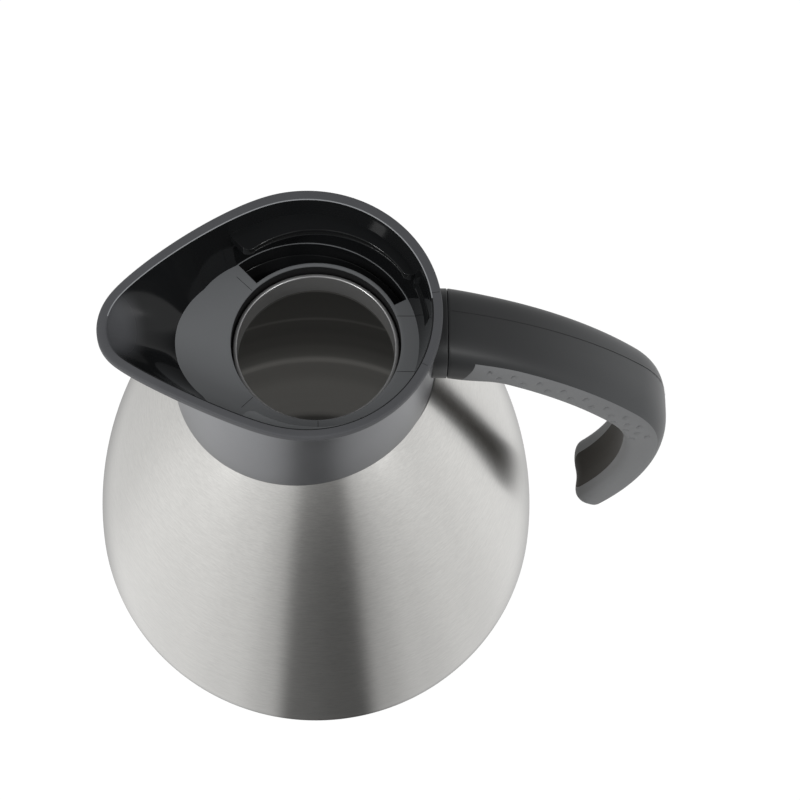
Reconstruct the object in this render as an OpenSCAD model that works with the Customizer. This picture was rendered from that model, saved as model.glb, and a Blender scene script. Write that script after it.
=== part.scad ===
// Open vacuum carafe: double-walled steel body, pouring collar with bayonet ledges, hook handle.
// Z is up, the table is z = 0 and the body's axis is x = y = 0. The spout points to -X, the handle to +X.

/* [Steel body] */
// Diameter of the body at its widest
body_d = 140; // [130:1:150]
// Height of the widest circle above the table
belly_z = 44; // [40:1:50]
// Rise of the shoulder curve above the widest circle
shoulder_rise = 138.2; // [125:0.1:150]
// Fullness of the shoulder curve, 2 for an ellipse
shoulder_power = 1.9; // [1.8:0.05:2.1]
// Height of the flat base's edge above the table
base_z = 3.7; // [3.4:0.1:4.2]
// Fullness of the underside curve, 2 for an ellipse
belly_power = 1.91; // [1.8:0.01:2.1]
// Diameter of the flat base
base_d = 94; // [88:1:100]
// Thickness of the steel sheet
sheet = 0.6; // [0.5:0.1:0.8]
// Evacuated space between the two walls
vacuum_gap = 3.4; // [3:0.1:4.5]
// Diameter of the circle where the shoulder turns in to the neck
shoulder_d = 72; // [68:1:76]

/* [Neck] */
// Bore of the neck
neck_bore_d = 45; // [43:0.5:46]
// Height of the neck above the shoulder
neck_h = 11.5; // [10.5:0.5:14]
// Space between the two walls of the neck
neck_gap = 0.4; // [0.3:0.05:0.6]
// How far the rolled bead stands out of the neck
bead = 0.8; // [0.6:0.1:1]
// Wire of the snap ring under the bead
ring_wire = 1.2; // [1:0.1:1.4]

/* [Base] */
// Thickness of the moulded base cap
cap_t = 2.2; // [1.8:0.1:2.6]
// Height of the cap's edge up the body
cap_h = 7.5; // [6:0.5:9]
// Depth of the ring groove under the cap
cap_groove = 0.8; // [0.5:0.1:1]
// Diameter of the getter pill in the vacuum
getter_d = 16; // [12:1:20]
// Diameter of the solder seal in the base plate
seal_d = 7; // [5:0.5:9]

/* [Collar] */
// Diameter of the rim
rim_d = 78.8; // [78:0.2:82]
// How far the rim's centre lies towards the spout
rim_shift = 2.6; // [2:0.1:3]
// Depth of the bowl from the rim to the shelf
bowl_depth = 21; // [19:0.5:23]
// Height of the steel lip below the shelf's top
lip_drop = 1.2; // [0.8:0.1:1.6]
// Width of the rim's face
rim_face = 3.1; // [2.9:0.1:3.4]
// Height of the rim's band
rim_h = 2.6; // [2.2:0.1:3.4]
// How far the rim overhangs the shroud below it
undercut = 0.5; // [0.3:0.1:0.7]
// Thickness of the shelf
shelf_t = 2.5; // [2:0.1:3]
// Clearance between the neck and the hole in the shelf
hole_gap = 1.6; // [1.4:0.1:1.8]
// Diameter of the bowl at the shelf
bowl_d = 66; // [65:0.5:67]
// Thickness of the bowl's wall
bowl_wall = 1.9; // [1.6:0.1:2.2]
// Thickness of the shroud
shroud_t = 1.4; // [1.2:0.1:1.6]
// Diameter of the shroud where it meets the body
shroud_d = 76.4; // [75:0.2:79]
// How far the foot of the shroud lies towards the spout
shroud_shift = 4; // [3.2:0.1:4.4]

/* [Spout] */
// Distance of the spout's tip from the body's axis
spout_reach = 64.3; // [61:0.1:68]
// Radius of the rounded tip
tip_r = 15.4; // [14:0.1:17]
// How far the tip dips below the rim
spout_dip = 11; // [8:0.5:13]
// Distance from the body's axis at which the dip starts
dip_start = 9; // [6:1:14]
// Depth of the trough below the rim's face at the tip
lip_depth = 1.2; // [0.8:0.1:2]
// Distance of the shelf's end from the body's axis, on the spout side
shelf_reach = 41.2; // [39:0.2:43]
// Radius of the shelf's end
shelf_end_r = 22.7; // [21:0.1:24]

/* [Bayonet] */
// Distance of the ledges' inner edge from the body's axis
ledge_r = 30; // [29:0.1:31]
// Thickness of the ledges
ledge_t = 3.4; // [2.6:0.1:4]
// Depth of the ledges below the rim
ledge_depth = 7; // [6:0.5:8]
// Start and end of the ledge on the far side, in degrees from the handle
far_ledge = [28, 132]; // [0:1:180]
// Start and end of the ledge on the near side, in degrees from the handle
near_ledge = [-125, -38]; // [-180:1:0]
// Distance of the slots' inner edge from the body's axis
slot_r = 27.4; // [27:0.1:28]
// Depth of the pockets under the slots, below the shelf's top
slot_depth = 7; // [6:0.1:7.4]
// Start and end of the relief in the wall at the handle, in degrees from the handle
relief = [2, 24]; // [-30:1:60]
// Height of the relief
relief_h = 9; // [7:0.5:12]
// Depth of the relief
relief_depth = 0.8; // [0.5:0.1:1]

/* [Handle] */
// Distance of the joint between shroud and handle from the body's axis
root_x = 38.4; // [38:0.2:40]
// Depth of the handle's top below the rim at the joint
root_drop = 5; // [4:0.5:7]
// Width of the handle at the joint
root_w = 25.5; // [24:0.5:27]
// Thickness of the handle at the joint
root_t = 20; // [18:0.5:21]
// Width of the arm
arm_w = 24.5; // [22:0.5:26]
// Thickness of the arm
arm_t = 15.5; // [14:0.5:17]
// Width of the tail
tail_w = 22; // [20:0.5:24]
// Thickness of the tail
tail_t = 11; // [10:0.5:12]
// Radius of the arm's outer curve
arm_r = 132; // [122:1:142]
// Radius of the bend at the knuckles
bend_r = 38; // [34:1:44]
// Radius of the hooked tail
hook_r = 88; // [80:1:96]
// Length of the straight end of the tail
tail_end = 5.5; // [5:0.5:8]
// Slope of the handle's top at the joint, in degrees
root_slope = 18; // [14:1:22]
// Depth of the hollow in the tail's inner face
tail_dish = 2.2; // [1.5:0.1:2.5]
// Thickness of the handle's cover and grip
skin = 3; // [2.6:0.1:3.4]
// Clearance between cover, grip and core
skin_fit = 0.1; // [0.05:0.05:0.2]
// Thread diameter of the handle screws
screw_d = 3; // [2.5:0.5:3.5]
// Distance between the handle screws
screw_pitch = 7.5; // [7:0.5:8.5]

/* [Hidden] */
$fn = 96;
hull_fn = 64;
eps = 0.01;

// Radii and heights of the steel body
body_r = body_d / 2;
base_r = base_d / 2;
shoulder_r = shoulder_d / 2;
neck_in = neck_bore_d / 2;
neck_out = neck_in + 2 * sheet + neck_gap;
curve_steps = 22;
// Drop of the underside's full curve, which passes through the edge of the base
belly_drop = (belly_z - base_z) / pow(1 - pow(base_r / body_r, belly_power), 1 / belly_power);

// Height above the widest circle of a shoulder curve inset by d, at radius r
function shoulder_height(r, d) =
    (shoulder_rise - d) * pow(1 - pow(r / (body_r - d), shoulder_power), 1 / shoulder_power);
// Depth below the widest circle of an underside curve inset by d, at radius r
function belly_depth(r, d) =
    (belly_drop - d) * pow(1 - pow(r / (body_r - d), belly_power), 1 / belly_power);

shoulder_z = belly_z + shoulder_height(shoulder_r, 0);
neck_top = shoulder_z + neck_h;
lip_t = 0.6;
shell_top = neck_top - lip_t;
neck_foot = shoulder_z + 3;

// Points of a shoulder curve inset by d, from the widest circle up to radius r_end
function shoulder_curve(d, r_end) =
    let (last = acos(pow(r_end / (body_r - d), shoulder_power / 2)))
    [for (i = [0:curve_steps]) let (t = last * i / curve_steps)
        [(body_r - d) * pow(cos(t), 2 / shoulder_power),
         belly_z + (shoulder_rise - d) * pow(sin(t), 2 / shoulder_power)]];
// Points of an underside curve inset by d, from radius r_end up to just below the widest circle
function belly_curve(d, r_end) =
    let (last = acos(pow(r_end / (body_r - d), belly_power / 2)))
    [for (i = [curve_steps:-1:1]) let (t = last * i / curve_steps)
        [(body_r - d) * pow(cos(t), 2 / belly_power),
         belly_z - (belly_drop - d) * pow(sin(t), 2 / belly_power)]];
function reversed(line) = [for (i = [len(line) - 1:-1:0]) line[i]];
// Points of a quarter round that leads from a flat shoulder up into an upright neck
function neck_fillet(r_neck, z_foot, r) =
    [for (a = [0:15:90]) [r_neck + r - r * sin(a), z_foot + r - r * cos(a)]];

// Stations up the neck: the snap ring, the bead and the gasket
fillet_r = 2.4;
ring_z = neck_foot + fillet_r - 0.4;
bead_z = ring_z + ring_wire + 0.15;
bead_h = 1.6;
gasket_z = bead_z + bead_h + 0.15;

// Outline of the outer wall, inset by d, from the base to the top of the neck
function shell_line(d) = concat(
    belly_curve(d, base_r - d),
    shoulder_curve(d, shoulder_r - d),
    neck_fillet(neck_out - d, neck_foot - fillet_r - d, fillet_r),
    [[neck_out - d, bead_z], [neck_out + bead - d, bead_z + bead_h * 0.35],
     [neck_out + bead - d, bead_z + bead_h * 0.65], [neck_out - d, bead_z + bead_h],
     [neck_out - d, shell_top]]);

module outer_shell() {
    color("silver")
        rotate_extrude()
            polygon(concat(shell_line(0), reversed(shell_line(sheet))));
}

// Everything inside the outer wall's surface, for cutting what seats on it
module body_solid() {
    rotate_extrude()
        polygon(concat([[0, base_z]], shell_line(0), [[0, shell_top]]));
}

// Pressed base plate with a raised middle and a dimple for the seal
plate_r = base_r - sheet;
plate_rise = 1;
plate_z = base_z + 0.2;
dimple_r = seal_d / 2 + 2;
dimple_h = 0.8;
function plate_line(d) = [
    [plate_r, plate_z + d], [plate_r * 0.86, plate_z + d], [plate_r * 0.78, plate_z + plate_rise + d],
    [dimple_r + dimple_h, plate_z + plate_rise + d], [dimple_r, plate_z + plate_rise + dimple_h + d],
    [seal_d / 2, plate_z + plate_rise + dimple_h + d]];

module base_plate() {
    color("lightgray")
        rotate_extrude()
            polygon(concat(plate_line(0), reversed(plate_line(sheet))));
}

module vacuum_seal() {
    color("dimgray")
        rotate_extrude()
            translate([0, plate_z + plate_rise + dimple_h])
                polygon([[0, 0], [seal_d / 2, 0], [seal_d / 2, sheet],
                         [seal_d / 4, sheet + 0.8], [0, sheet + 1]]);
}

// Moulded cap that hugs the foot of the body
cap_edge = 2;
module base_cap() {
    color("#2f2f31")
        rotate_extrude()
            difference() {
                union() {
                    square([base_r + cap_t - cap_edge, base_z]);
                    translate([0, cap_edge])
                        square([base_r + cap_t, cap_h - cap_edge]);
                    translate([base_r + cap_t - cap_edge, cap_edge])
                        circle(cap_edge);
                }
                polygon(concat([[0, base_z]], belly_curve(0, base_r), [[0, belly_z]]));
                translate([base_r * 0.78, -eps])
                    square([base_r * 0.06, cap_groove + eps]);
            }
}

// Liner: the same curves, inset by the vacuum gap
liner_d = sheet + vacuum_gap;
liner_seam = base_r * 0.94;
liner_shoulder = shoulder_r - 3;
liner_foot = belly_z + shoulder_height(liner_shoulder, liner_d) + 2.4;
function liner_line(d) = concat(
    belly_curve(liner_d + d, liner_seam),
    shoulder_curve(liner_d + d, liner_shoulder - d),
    neck_fillet(neck_in + sheet - d, liner_foot - fillet_r - d, fillet_r),
    [[neck_in + sheet - d, shell_top]]);
liner_outer = liner_line(0);
liner_inner = liner_line(sheet);

// Rounded lip that joins the two necks
lip_line = [[neck_out, shell_top], [neck_out, neck_top - lip_t * 0.4], [neck_out - lip_t * 0.5, neck_top],
            [neck_in + lip_t * 0.5, neck_top], [neck_in, neck_top - lip_t * 0.4]];

module inner_liner() {
    color("gainsboro")
        rotate_extrude()
            polygon(concat(liner_outer, lip_line, reversed(liner_inner)));
}

// Domed bottom that closes the liner at its seam
liner_base_z = liner_inner[0][1];
liner_dome = 2.5;
weld_r = liner_inner[0][0];
flat_r = liner_seam * 0.6;
module liner_bottom() {
    color("gainsboro")
        rotate_extrude()
            translate([0, liner_base_z])
                polygon([[0, liner_dome - sheet], [flat_r, liner_dome - sheet],
                         [weld_r - 0.4, -sheet], [weld_r, -sheet], [weld_r, 0],
                         [weld_r - 0.6, 0], [flat_r, liner_dome], [0, liner_dome]]);
}

// Radiation foil wrapped round the liner's belt, between two points of its outline
foil_t = 0.3;
foil_first = curve_steps - 5;
foil_last = curve_steps + 7;
module reflector_foil() {
    color("#b87333")
        rotate_extrude()
            polygon(concat(
                [for (i = [foil_first:foil_last]) liner_outer[i] + [foil_t, 0]],
                [for (i = [foil_last:-1:foil_first]) liner_outer[i]]));
}

// Getter pill under the liner's bottom, beside the seal
getter_h = 1.6;
getter_shift = getter_d / 2 + seal_d;
module getter_pill() {
    color("darkgray")
        translate([getter_shift, 0, liner_base_z + liner_dome - sheet - getter_h])
            cylinder(d = getter_d, h = getter_h);
}

module snap_ring() {
    color("slategray")
        difference() {
            translate([0, 0, ring_z])
                cylinder(r = neck_out + ring_wire, h = ring_wire);
            translate([0, 0, ring_z - eps])
                cylinder(r = neck_out, h = ring_wire + 2 * eps);
            translate([0, -1.5, ring_z - eps])
                cube([neck_out * 2, 3, ring_wire + 2 * eps]);
        }
}

// Heights and radii of the collar
hole_r = neck_out + hole_gap;
shelf_z = neck_top + lip_drop;
rim_z = shelf_z + bowl_depth;
rim_r = rim_d / 2;
bowl_r = bowl_d / 2;
tube_wall = 1.4;
tube_low = ring_z - 1.1;

module neck_gasket() {
    color("#3a3a3c")
        rotate_extrude()
            polygon([[neck_out, gasket_z], [hole_r, gasket_z], [hole_r, neck_top - 0.9],
                     [hole_r - 0.4, neck_top - 0.6], [neck_out + 0.3, neck_top - 0.9],
                     [neck_out, neck_top - 1.1]]);
}

// Rim seen from above, inset by d: a round rim drawn out to a rounded tip
tip_x = tip_r - spout_reach;
side_angle = asin((rim_r - tip_r) / (-rim_shift - tip_x));
function edge_point(x, r, side) = [x - r * sin(side_angle), side * r * cos(side_angle)];
module drop2d(d) {
    translate([-rim_shift, 0])
        circle(rim_r - d);
    translate([tip_x, 0])
        circle(tip_r - d);
    polygon([edge_point(-rim_shift, rim_r - d, 1), edge_point(tip_x, tip_r - d, 1),
             edge_point(tip_x, tip_r - d, -1), edge_point(-rim_shift, rim_r - d, -1)]);
}

// Side view of what lies below the rim's top face lowered by d: level, then dipping in an arc to the tip
dip_run = spout_reach - dip_start;
dip_r = (dip_run * dip_run + spout_dip * spout_dip) / (2 * spout_dip);
function top_z(x) = rim_z - (x > -dip_start ? 0 : dip_r - sqrt(dip_r * dip_r - pow(x + dip_start, 2)));
module side2d(d) {
    translate([-dip_start, 0])
        square([body_d, rim_z - d]);
    intersection() {
        translate([-dip_start - body_d, 0])
            square([body_d, rim_z]);
        translate([-dip_start, rim_z - dip_r])
            circle(dip_r - d, $fn = 360);
    }
}
module across() {
    rotate([90, 0, 0])
        linear_extrude(2 * body_d, center = true)
            children();
}
module below_top(d) {
    across()
        side2d(d);
}
// The rim's band, which follows the top face
module rim_band() {
    intersection() {
        translate([0, 0, rim_z - rim_h - spout_dip - 1])
            linear_extrude(rim_h + spout_dip + 1)
                drop2d(0);
        across()
            difference() {
                side2d(0);
                side2d(rim_h);
            }
    }
}

// Radius of the bowl's room at height z
function room_r(z) = bowl_r + (rim_r - rim_face - bowl_r) * (z - shelf_z) / bowl_depth;
// Trough from the shelf's end to the rounded tip, grown outwards and downwards by its wall w.
// Its flanks run out just inside the bowl's own wall.
shelf_end_x = shelf_end_r - shelf_reach;
trough_z = rim_z - spout_dip - lip_depth;
flank_step = 0.3;
module trough(w) {
    flank = w / 3 - flank_step;
    hull() {
        translate([shelf_end_x, 0, shelf_z - w])
            cylinder(r = shelf_end_r + w, h = eps, $fn = hull_fn);
        translate([-rim_shift, 0, trough_z - w])
            cylinder(r = room_r(trough_z) + flank, h = eps, $fn = hull_fn);
        translate([-rim_shift, 0, rim_z])
            cylinder(r = rim_r - rim_face + flank, h = eps, $fn = hull_fn);
        translate([tip_x, 0, trough_z - w])
            cylinder(r = tip_r - rim_face + w, h = rim_z - trough_z + w, $fn = hull_fn);
    }
}
module bowl_room() {
    translate([-rim_shift, 0, shelf_z])
        cylinder(r1 = bowl_r, r2 = rim_r - rim_face, h = bowl_depth + eps);
    trough(0);
}

// Outside of the bowl and trough, under the rim's band
flange_z = rim_z - rim_h;
bowl_fit = 0.3;
bowl_out_low = bowl_r + bowl_wall;
bowl_out_top = rim_r - undercut - shroud_t - bowl_fit;
module bowl_form(d) {
    translate([-rim_shift, 0, shelf_z - shelf_t - d])
        cylinder(r1 = bowl_out_low + d, r2 = bowl_out_top + d, h = flange_z - shelf_z + shelf_t + 1);
}
module bowl_outside() {
    bowl_form(0);
    intersection() {
        trough(bowl_wall);
        below_top(rim_h - 1);
    }
}

module ledge(span) {
    intersection() {
        rotate([0, 0, span[0]])
            rotate_extrude(angle = span[1] - span[0])
                translate([ledge_r, rim_z - ledge_depth - ledge_t])
                    square([body_r - ledge_r, ledge_t]);
        bowl_form(-0.4);
    }
}

// Slot below a ledge: a room of the given depth under the shelf's top, grown by the wall w
slot_wall = 1.1;
slot_ease = 2;
module slot(span, depth, w) {
    intersection() {
        rotate([0, 0, span[0] - w * slot_ease])
            rotate_extrude(angle = span[1] - span[0] + 2 * w * slot_ease)
                translate([slot_r - w, shelf_z - depth - w])
                    square([body_r - slot_r, depth + (w > 0 ? -eps : 1)]);
        translate([-rim_shift, 0, shelf_z - depth - w - 1])
            cylinder(r = bowl_r - slot_wall / 2 + w, h = depth + 3);
    }
}

relief_z = rim_z - rim_face - relief_h;
relief_low = room_r(relief_z) + relief_depth;
relief_top = room_r(relief_z + relief_h) + relief_depth;
module wall_relief() {
    translate([-rim_shift, 0, relief_z])
        rotate([0, 0, relief[0]])
            rotate_extrude(angle = relief[1] - relief[0])
                polygon([[bowl_r / 2, 0], [relief_low, 0], [relief_top, relief_h],
                         [bowl_r / 2, relief_h]]);
}

module spout_collar() {
    color("#46474a") {
        difference() {
            union() {
                rim_band();
                bowl_outside();
                translate([0, 0, tube_low])
                    cylinder(r = hole_r + tube_wall, h = shelf_z - tube_low - eps);
                slot(far_ledge, slot_depth, slot_wall);
                slot(near_ledge, slot_depth, slot_wall);
            }
            bowl_room();
            translate([0, 0, ring_z - 0.1])
                cylinder(r = hole_r, h = bowl_depth);
            translate([0, 0, tube_low - eps])
                cylinder(r = neck_out + 0.4, h = bowl_depth);
            slot(far_ledge, slot_depth, 0);
            slot(near_ledge, slot_depth, 0);
            wall_relief();
        }
        ledge(far_ledge);
        ledge(near_ledge);
    }
}

// Shroud between the rim and the body, cut away where the spout passes through
shroud_r = shroud_d / 2;
shroud_low = belly_z + shoulder_height(shroud_r + shroud_shift, 0) - 3;
// Its form, or with a thickness t the room inside it, which runs out above and below
module shroud_form(t) {
    reach = t > 0 ? 1 : 0;
    n = hull_fn;
    polyhedron(
        points = concat(
            shroud_circle(shroud_r - t, shroud_shift, shroud_low - reach),
            shroud_circle(rim_r - undercut - t, rim_shift, flange_z + reach)),
        faces = concat(
            [[for (i = [0:n - 1]) i], [for (i = [0:n - 1]) 2 * n - 1 - i]],
            [for (i = [0:n - 1]) let (k = (i + 1) % n) [i, i + n, k + n, k]]));
}
function shroud_circle(r, shift, z) =
    [for (i = [0:hull_fn - 1]) let (a = 360 * i / hull_fn) [r * cos(a) - shift, r * sin(a), z]];

// Cross-section of the handle: w wide, t thick, hollowed by dish on its inner face.
// The first number runs across the handle, the second from its top face towards the hand.
section_steps = 14;
section_power = 3;
split = 0.2;
function side_of(a, v) = a * (v < 0 ? -1 : 1) * pow(abs(v), 2 / section_power);
function top_arc(w, t) =
    let (first = asin(pow(1 - 2 * split, section_power / 2)))
    [for (i = [0:section_steps]) let (a = first + (180 - 2 * first) * i / section_steps)
        [side_of(w / 2, cos(a)), t / 2 - side_of(t / 2, sin(a))]];
function under_arc(w, t, dish) =
    let (first = asin(pow(1 - 2 * split, section_power / 2)))
    [for (i = [0:section_steps]) let (a = 180 - first + (180 + 2 * first) * i / section_steps,
                                      y = side_of(w / 2, cos(a)))
        [y, t / 2 - side_of(t / 2, sin(a)) - (sin(a) < -0.7 ? dish * (1 - pow(2 * y / w, 2)) : 0)]];

// Line of the handle's top face: position, heading below level, and distance from the joint
arm_end = 50;
bend_end = 90;
hook_end = 124;
root_point = [root_x, rim_z - root_drop];
function arc_from(p, r, from, to) = p + r * [sin(to) - sin(from), cos(to) - cos(from)];
bend_point = arc_from(root_point, arm_r, root_slope, arm_end);
hook_point = arc_from(bend_point, bend_r, arm_end, bend_end);
tail_point = arc_from(hook_point, hook_r, bend_end, hook_end);
arm_len = arm_r * (arm_end - root_slope) * PI / 180;
bend_len = bend_r * (bend_end - arm_end) * PI / 180;
hook_len = hook_r * (hook_end - bend_end) * PI / 180;
handle_len = arm_len + bend_len + hook_len + tail_end;
function heading(s) =
    s < arm_len ? root_slope + (arm_end - root_slope) * s / arm_len :
    s < arm_len + bend_len ? arm_end + (bend_end - arm_end) * (s - arm_len) / bend_len :
    s < arm_len + bend_len + hook_len ?
        bend_end + (hook_end - bend_end) * (s - arm_len - bend_len) / hook_len : hook_end;
function top_point(s) =
    s < arm_len ? arc_from(root_point, arm_r, root_slope, heading(s)) :
    s < arm_len + bend_len ? arc_from(bend_point, bend_r, arm_end, heading(s)) :
    s < arm_len + bend_len + hook_len ? arc_from(hook_point, hook_r, bend_end, heading(s)) :
        tail_point + (s - handle_len + tail_end) * [cos(hook_end), -sin(hook_end)];

// Width, thickness and hollow of the handle at distance s, easing from joint to arm to tail
root_blend = 26;
function ease(v) = let (u = min(max(v, 0), 1)) u * u * (3 - 2 * u);
function along(s, root, arm, tail) =
    root + (arm - root) * ease(s / root_blend) +
    (tail - arm) * ease((s - arm_len) / (handle_len - arm_len));
function tip_scale(s) =
    let (u = (s - handle_len + tail_end) / tail_end)
    u <= 0 ? 1 : sqrt(1 - 0.85 * u * u);
function tilt(s) = heading(s) * ease(s / root_blend);

// One section point carried to its place in the handle
function place(s, q) =
    let (t = along(s, root_t, arm_t, tail_t),
         k = tip_scale(s),
         depth = t / 2 + (q[1] - t / 2) * k,
         p = top_point(s))
    [p[0] - sin(tilt(s)) * depth, q[0] * k, p[1] - cos(tilt(s)) * depth];

// Stations along the handle, closer together at the rounded end
end_steps = 7;
run_steps = 34;
stations = concat(
    [for (i = [0:run_steps]) (handle_len - tail_end) * i / run_steps],
    [for (i = [1:end_steps]) handle_len - tail_end + tail_end * sin(90 * i / end_steps)]);

// Solid through equal rings of points, closed at both ends
module loft(rings) {
    count = len(rings[0]);
    last = len(rings) - 1;
    polyhedron(
        [for (ring = rings, p = ring) p],
        concat(
            [for (i = [0:last - 1], j = [0:count - 1], half = [0, 1])
                let (a = i * count + j, b = i * count + (j + 1) % count)
                half == 0 ? [a, b, b + count] : [a, b + count, a + count]],
            [[for (j = [count - 1:-1:0]) j]],
            [[for (j = [0:count - 1]) last * count + j]]),
        convexity = 6);
}

function width_at(s) = along(s, root_w, arm_w, tail_w);
function thick_at(s) = along(s, root_t, arm_t, tail_t);
function dish_at(s) = tail_dish * ease((s - arm_len) / bend_len);
function split_depth(s) = thick_at(s) * split;
// Half width and depths of the core at distance s, smaller by the clearance d
function core_ring(s, d) =
    let (w = width_at(s) / 2 - skin - d, t = thick_at(s), low = t - skin - dish_at(s) * 0.6 - d)
    [[w, skin + d], [w, low], [-w, low], [-w, skin + d]];

// Two screws through the shroud's boss into the handle's core
screw_reach = 7.5;
screw_sink = 1.5;
screw_head_d = 5.6;
screw_head_h = 1.6;
screw_mid = rim_z - root_drop - root_t / 2 - screw_sink;
screw_heights = [screw_mid - screw_pitch / 2, screw_mid + screw_pitch / 2];
boss_wall = 3;
screw_room = 10;
boss_in = root_x - boss_wall;

module handle_core() {
    color("#2c2c2e")
        difference() {
            loft([for (s = stations) [for (q = core_ring(s, skin_fit)) place(s, q)]]);
            for (z = screw_heights)
                translate([root_x - eps, 0, z])
                    rotate([0, 90, 0])
                        cylinder(d = screw_d, h = screw_reach + 0.5);
        }
}

// Rings of the cover and the grip at distance s: the outer arc, then the edges that meet the core
function cover_ring(s) =
    let (c = core_ring(s, 0), y = split_depth(s) - skin_fit)
    concat(reversed(top_arc(width_at(s), thick_at(s))), [[c[0][0], y], c[0], c[3], [c[3][0], y]]);
function grip_ring(s) =
    let (c = core_ring(s, 0), y = split_depth(s) + skin_fit)
    concat(reversed(under_arc(width_at(s), thick_at(s), dish_at(s))),
           [[c[3][0], y], c[2], c[1], [c[0][0], y]]);

module handle_cover() {
    color("#4a4b4d")
        loft([for (s = stations) [for (q = cover_ring(s)) place(s, q)]]);
}

module handle_grip() {
    color("#6a6b6d")
        loft([for (s = stations) [for (q = grip_ring(s)) place(s, q)]]);
}

module handle_screws() {
    color("darkgray")
        for (z = screw_heights)
            translate([boss_in, 0, z])
                rotate([0, 90, 0]) {
                    translate([0, 0, -screw_head_h])
                        cylinder(d = screw_head_d, h = screw_head_h);
                    cylinder(d = screw_d - 0.1, h = root_x - boss_in + screw_reach);
                }
}

root_section = concat(top_arc(root_w, root_t), under_arc(root_w, root_t, 0));
module collar_shroud() {
    color("#5a5b5e")
        difference() {
            union() {
                shroud_form(0);
                translate([shroud_r - shroud_shift - 2, 0, 0])
                    rotate([90, 0, 90])
                        linear_extrude(root_x - shroud_r + shroud_shift + 2)
                            polygon([for (q = root_section) [q[0], rim_z - root_drop - q[1]]]);
            }
            shroud_form(shroud_t);
            trough(bowl_wall + bowl_fit);
            body_solid();
            for (z = screw_heights)
                translate([boss_in, 0, z])
                    rotate([0, 90, 0]) {
                        translate([0, 0, -screw_room])
                            cylinder(d = screw_head_d + 0.4, h = screw_room);
                        cylinder(d = screw_d + 0.3, h = screw_room);
                    }
        }
}

outer_shell();
base_plate();
base_cap();
inner_liner();
liner_bottom();
reflector_foil();
getter_pill();
vacuum_seal();
snap_ring();
neck_gasket();
spout_collar();
collar_shroud();
handle_core();
handle_cover();
handle_grip();
handle_screws();
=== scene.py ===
"""Open vacuum carafe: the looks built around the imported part.

The steel body, the pouring collar, the shroud and the hook handle are built from named sizes in
millimetres and turned into meshes in metres. Most of the sizes are those of the part's source. The neck and
its lip, the hole round it, the near ledge, the far slot, the rim's flanks and the shroud's foot were fitted
more closely to the real look and differ from it by up to 4 mm. The frame is the part's: Z up, the spout
towards -X, the handle towards +X, the table at z = 0.
"""

from __future__ import annotations

import logging
import math
from dataclasses import dataclass, field
from enum import Enum
from functools import cached_property
from typing import Optional, Sequence

import bmesh
import bpy
import numpy as np
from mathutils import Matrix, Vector

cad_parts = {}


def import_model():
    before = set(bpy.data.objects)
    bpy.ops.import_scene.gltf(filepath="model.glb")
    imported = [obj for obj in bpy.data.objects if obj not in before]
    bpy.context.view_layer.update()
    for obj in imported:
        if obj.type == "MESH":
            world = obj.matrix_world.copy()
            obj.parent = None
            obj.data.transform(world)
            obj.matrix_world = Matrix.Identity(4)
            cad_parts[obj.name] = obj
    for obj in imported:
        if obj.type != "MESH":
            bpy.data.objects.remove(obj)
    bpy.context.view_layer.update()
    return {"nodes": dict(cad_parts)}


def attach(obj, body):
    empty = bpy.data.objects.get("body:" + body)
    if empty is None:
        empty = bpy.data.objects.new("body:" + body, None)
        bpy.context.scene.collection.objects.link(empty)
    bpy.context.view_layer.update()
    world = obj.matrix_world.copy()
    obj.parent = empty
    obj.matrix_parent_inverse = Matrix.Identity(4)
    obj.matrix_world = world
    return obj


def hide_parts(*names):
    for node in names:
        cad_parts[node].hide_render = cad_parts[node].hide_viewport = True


LOG = logging.getLogger("carafe")
MM = 0.001
ROOT = "root"
FULL_TURN = 2.0 * math.pi
WELD = 1e-7  # points closer than this, in metres, become one

Point2 = tuple[float, float]
Point3 = tuple[float, float, float]
Sizes = tuple[float, float, float]
Colour = tuple[float, float, float]
Socket = bpy.types.NodeSocket


# Small mathematics


def smoothstep(low: float, high: float, value: float) -> float:
    """Ease from 0 to 1.

    Args:
        low: value at which the result leaves 0.
        high: value at which the result reaches 1.
        value: the value to test.

    Returns:
        0 below low, 1 above high and a smooth step between.
    """
    t = min(max((value - low) / (high - low), 0.0), 1.0)
    return t * t * (3.0 - 2.0 * t)


def mix(a: float, b: float, t: float) -> float:
    """Return the value a share t of the way from a to b."""
    return a + (b - a) * t


def between(low: float, high: float, soft: float, value: float) -> float:
    """Return 1 between low and high and 0 outside, easing over a distance of soft on either side of both."""
    return smoothstep(low - soft, low + soft, value) * (1.0 - smoothstep(high - soft, high + soft, value))


def polar(r: float, angle: float, z: float) -> Point3:
    """Return the point at radius r and height z in a direction round the axis, in radians."""
    return (r * math.cos(angle), r * math.sin(angle), z)


def tone(red: float, green: float, blue: float) -> Colour:
    """Turn a screen colour of 0 to 255 a channel into linear light.

    Args:
        red: red, 0 to 255.
        green: green, 0 to 255.
        blue: blue, 0 to 255.

    Returns:
        The linear colour.
    """

    def linear(value: float) -> float:
        """Return one channel in linear light."""
        v = value / 255.0
        return v / 12.92 if v <= 0.04045 else ((v + 0.055) / 1.055) ** 2.4

    return (linear(red), linear(green), linear(blue))


def shaded(colour: Colour, factor: float) -> Colour:
    """Return a colour made darker or lighter by a factor."""
    red, green, blue = (min(1.0, channel * factor) for channel in colour)
    return (red, green, blue)


def signed_power(value: float, power: float) -> float:
    """Return value raised to power with its sign kept."""
    return math.copysign(abs(value) ** power, value)


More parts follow.
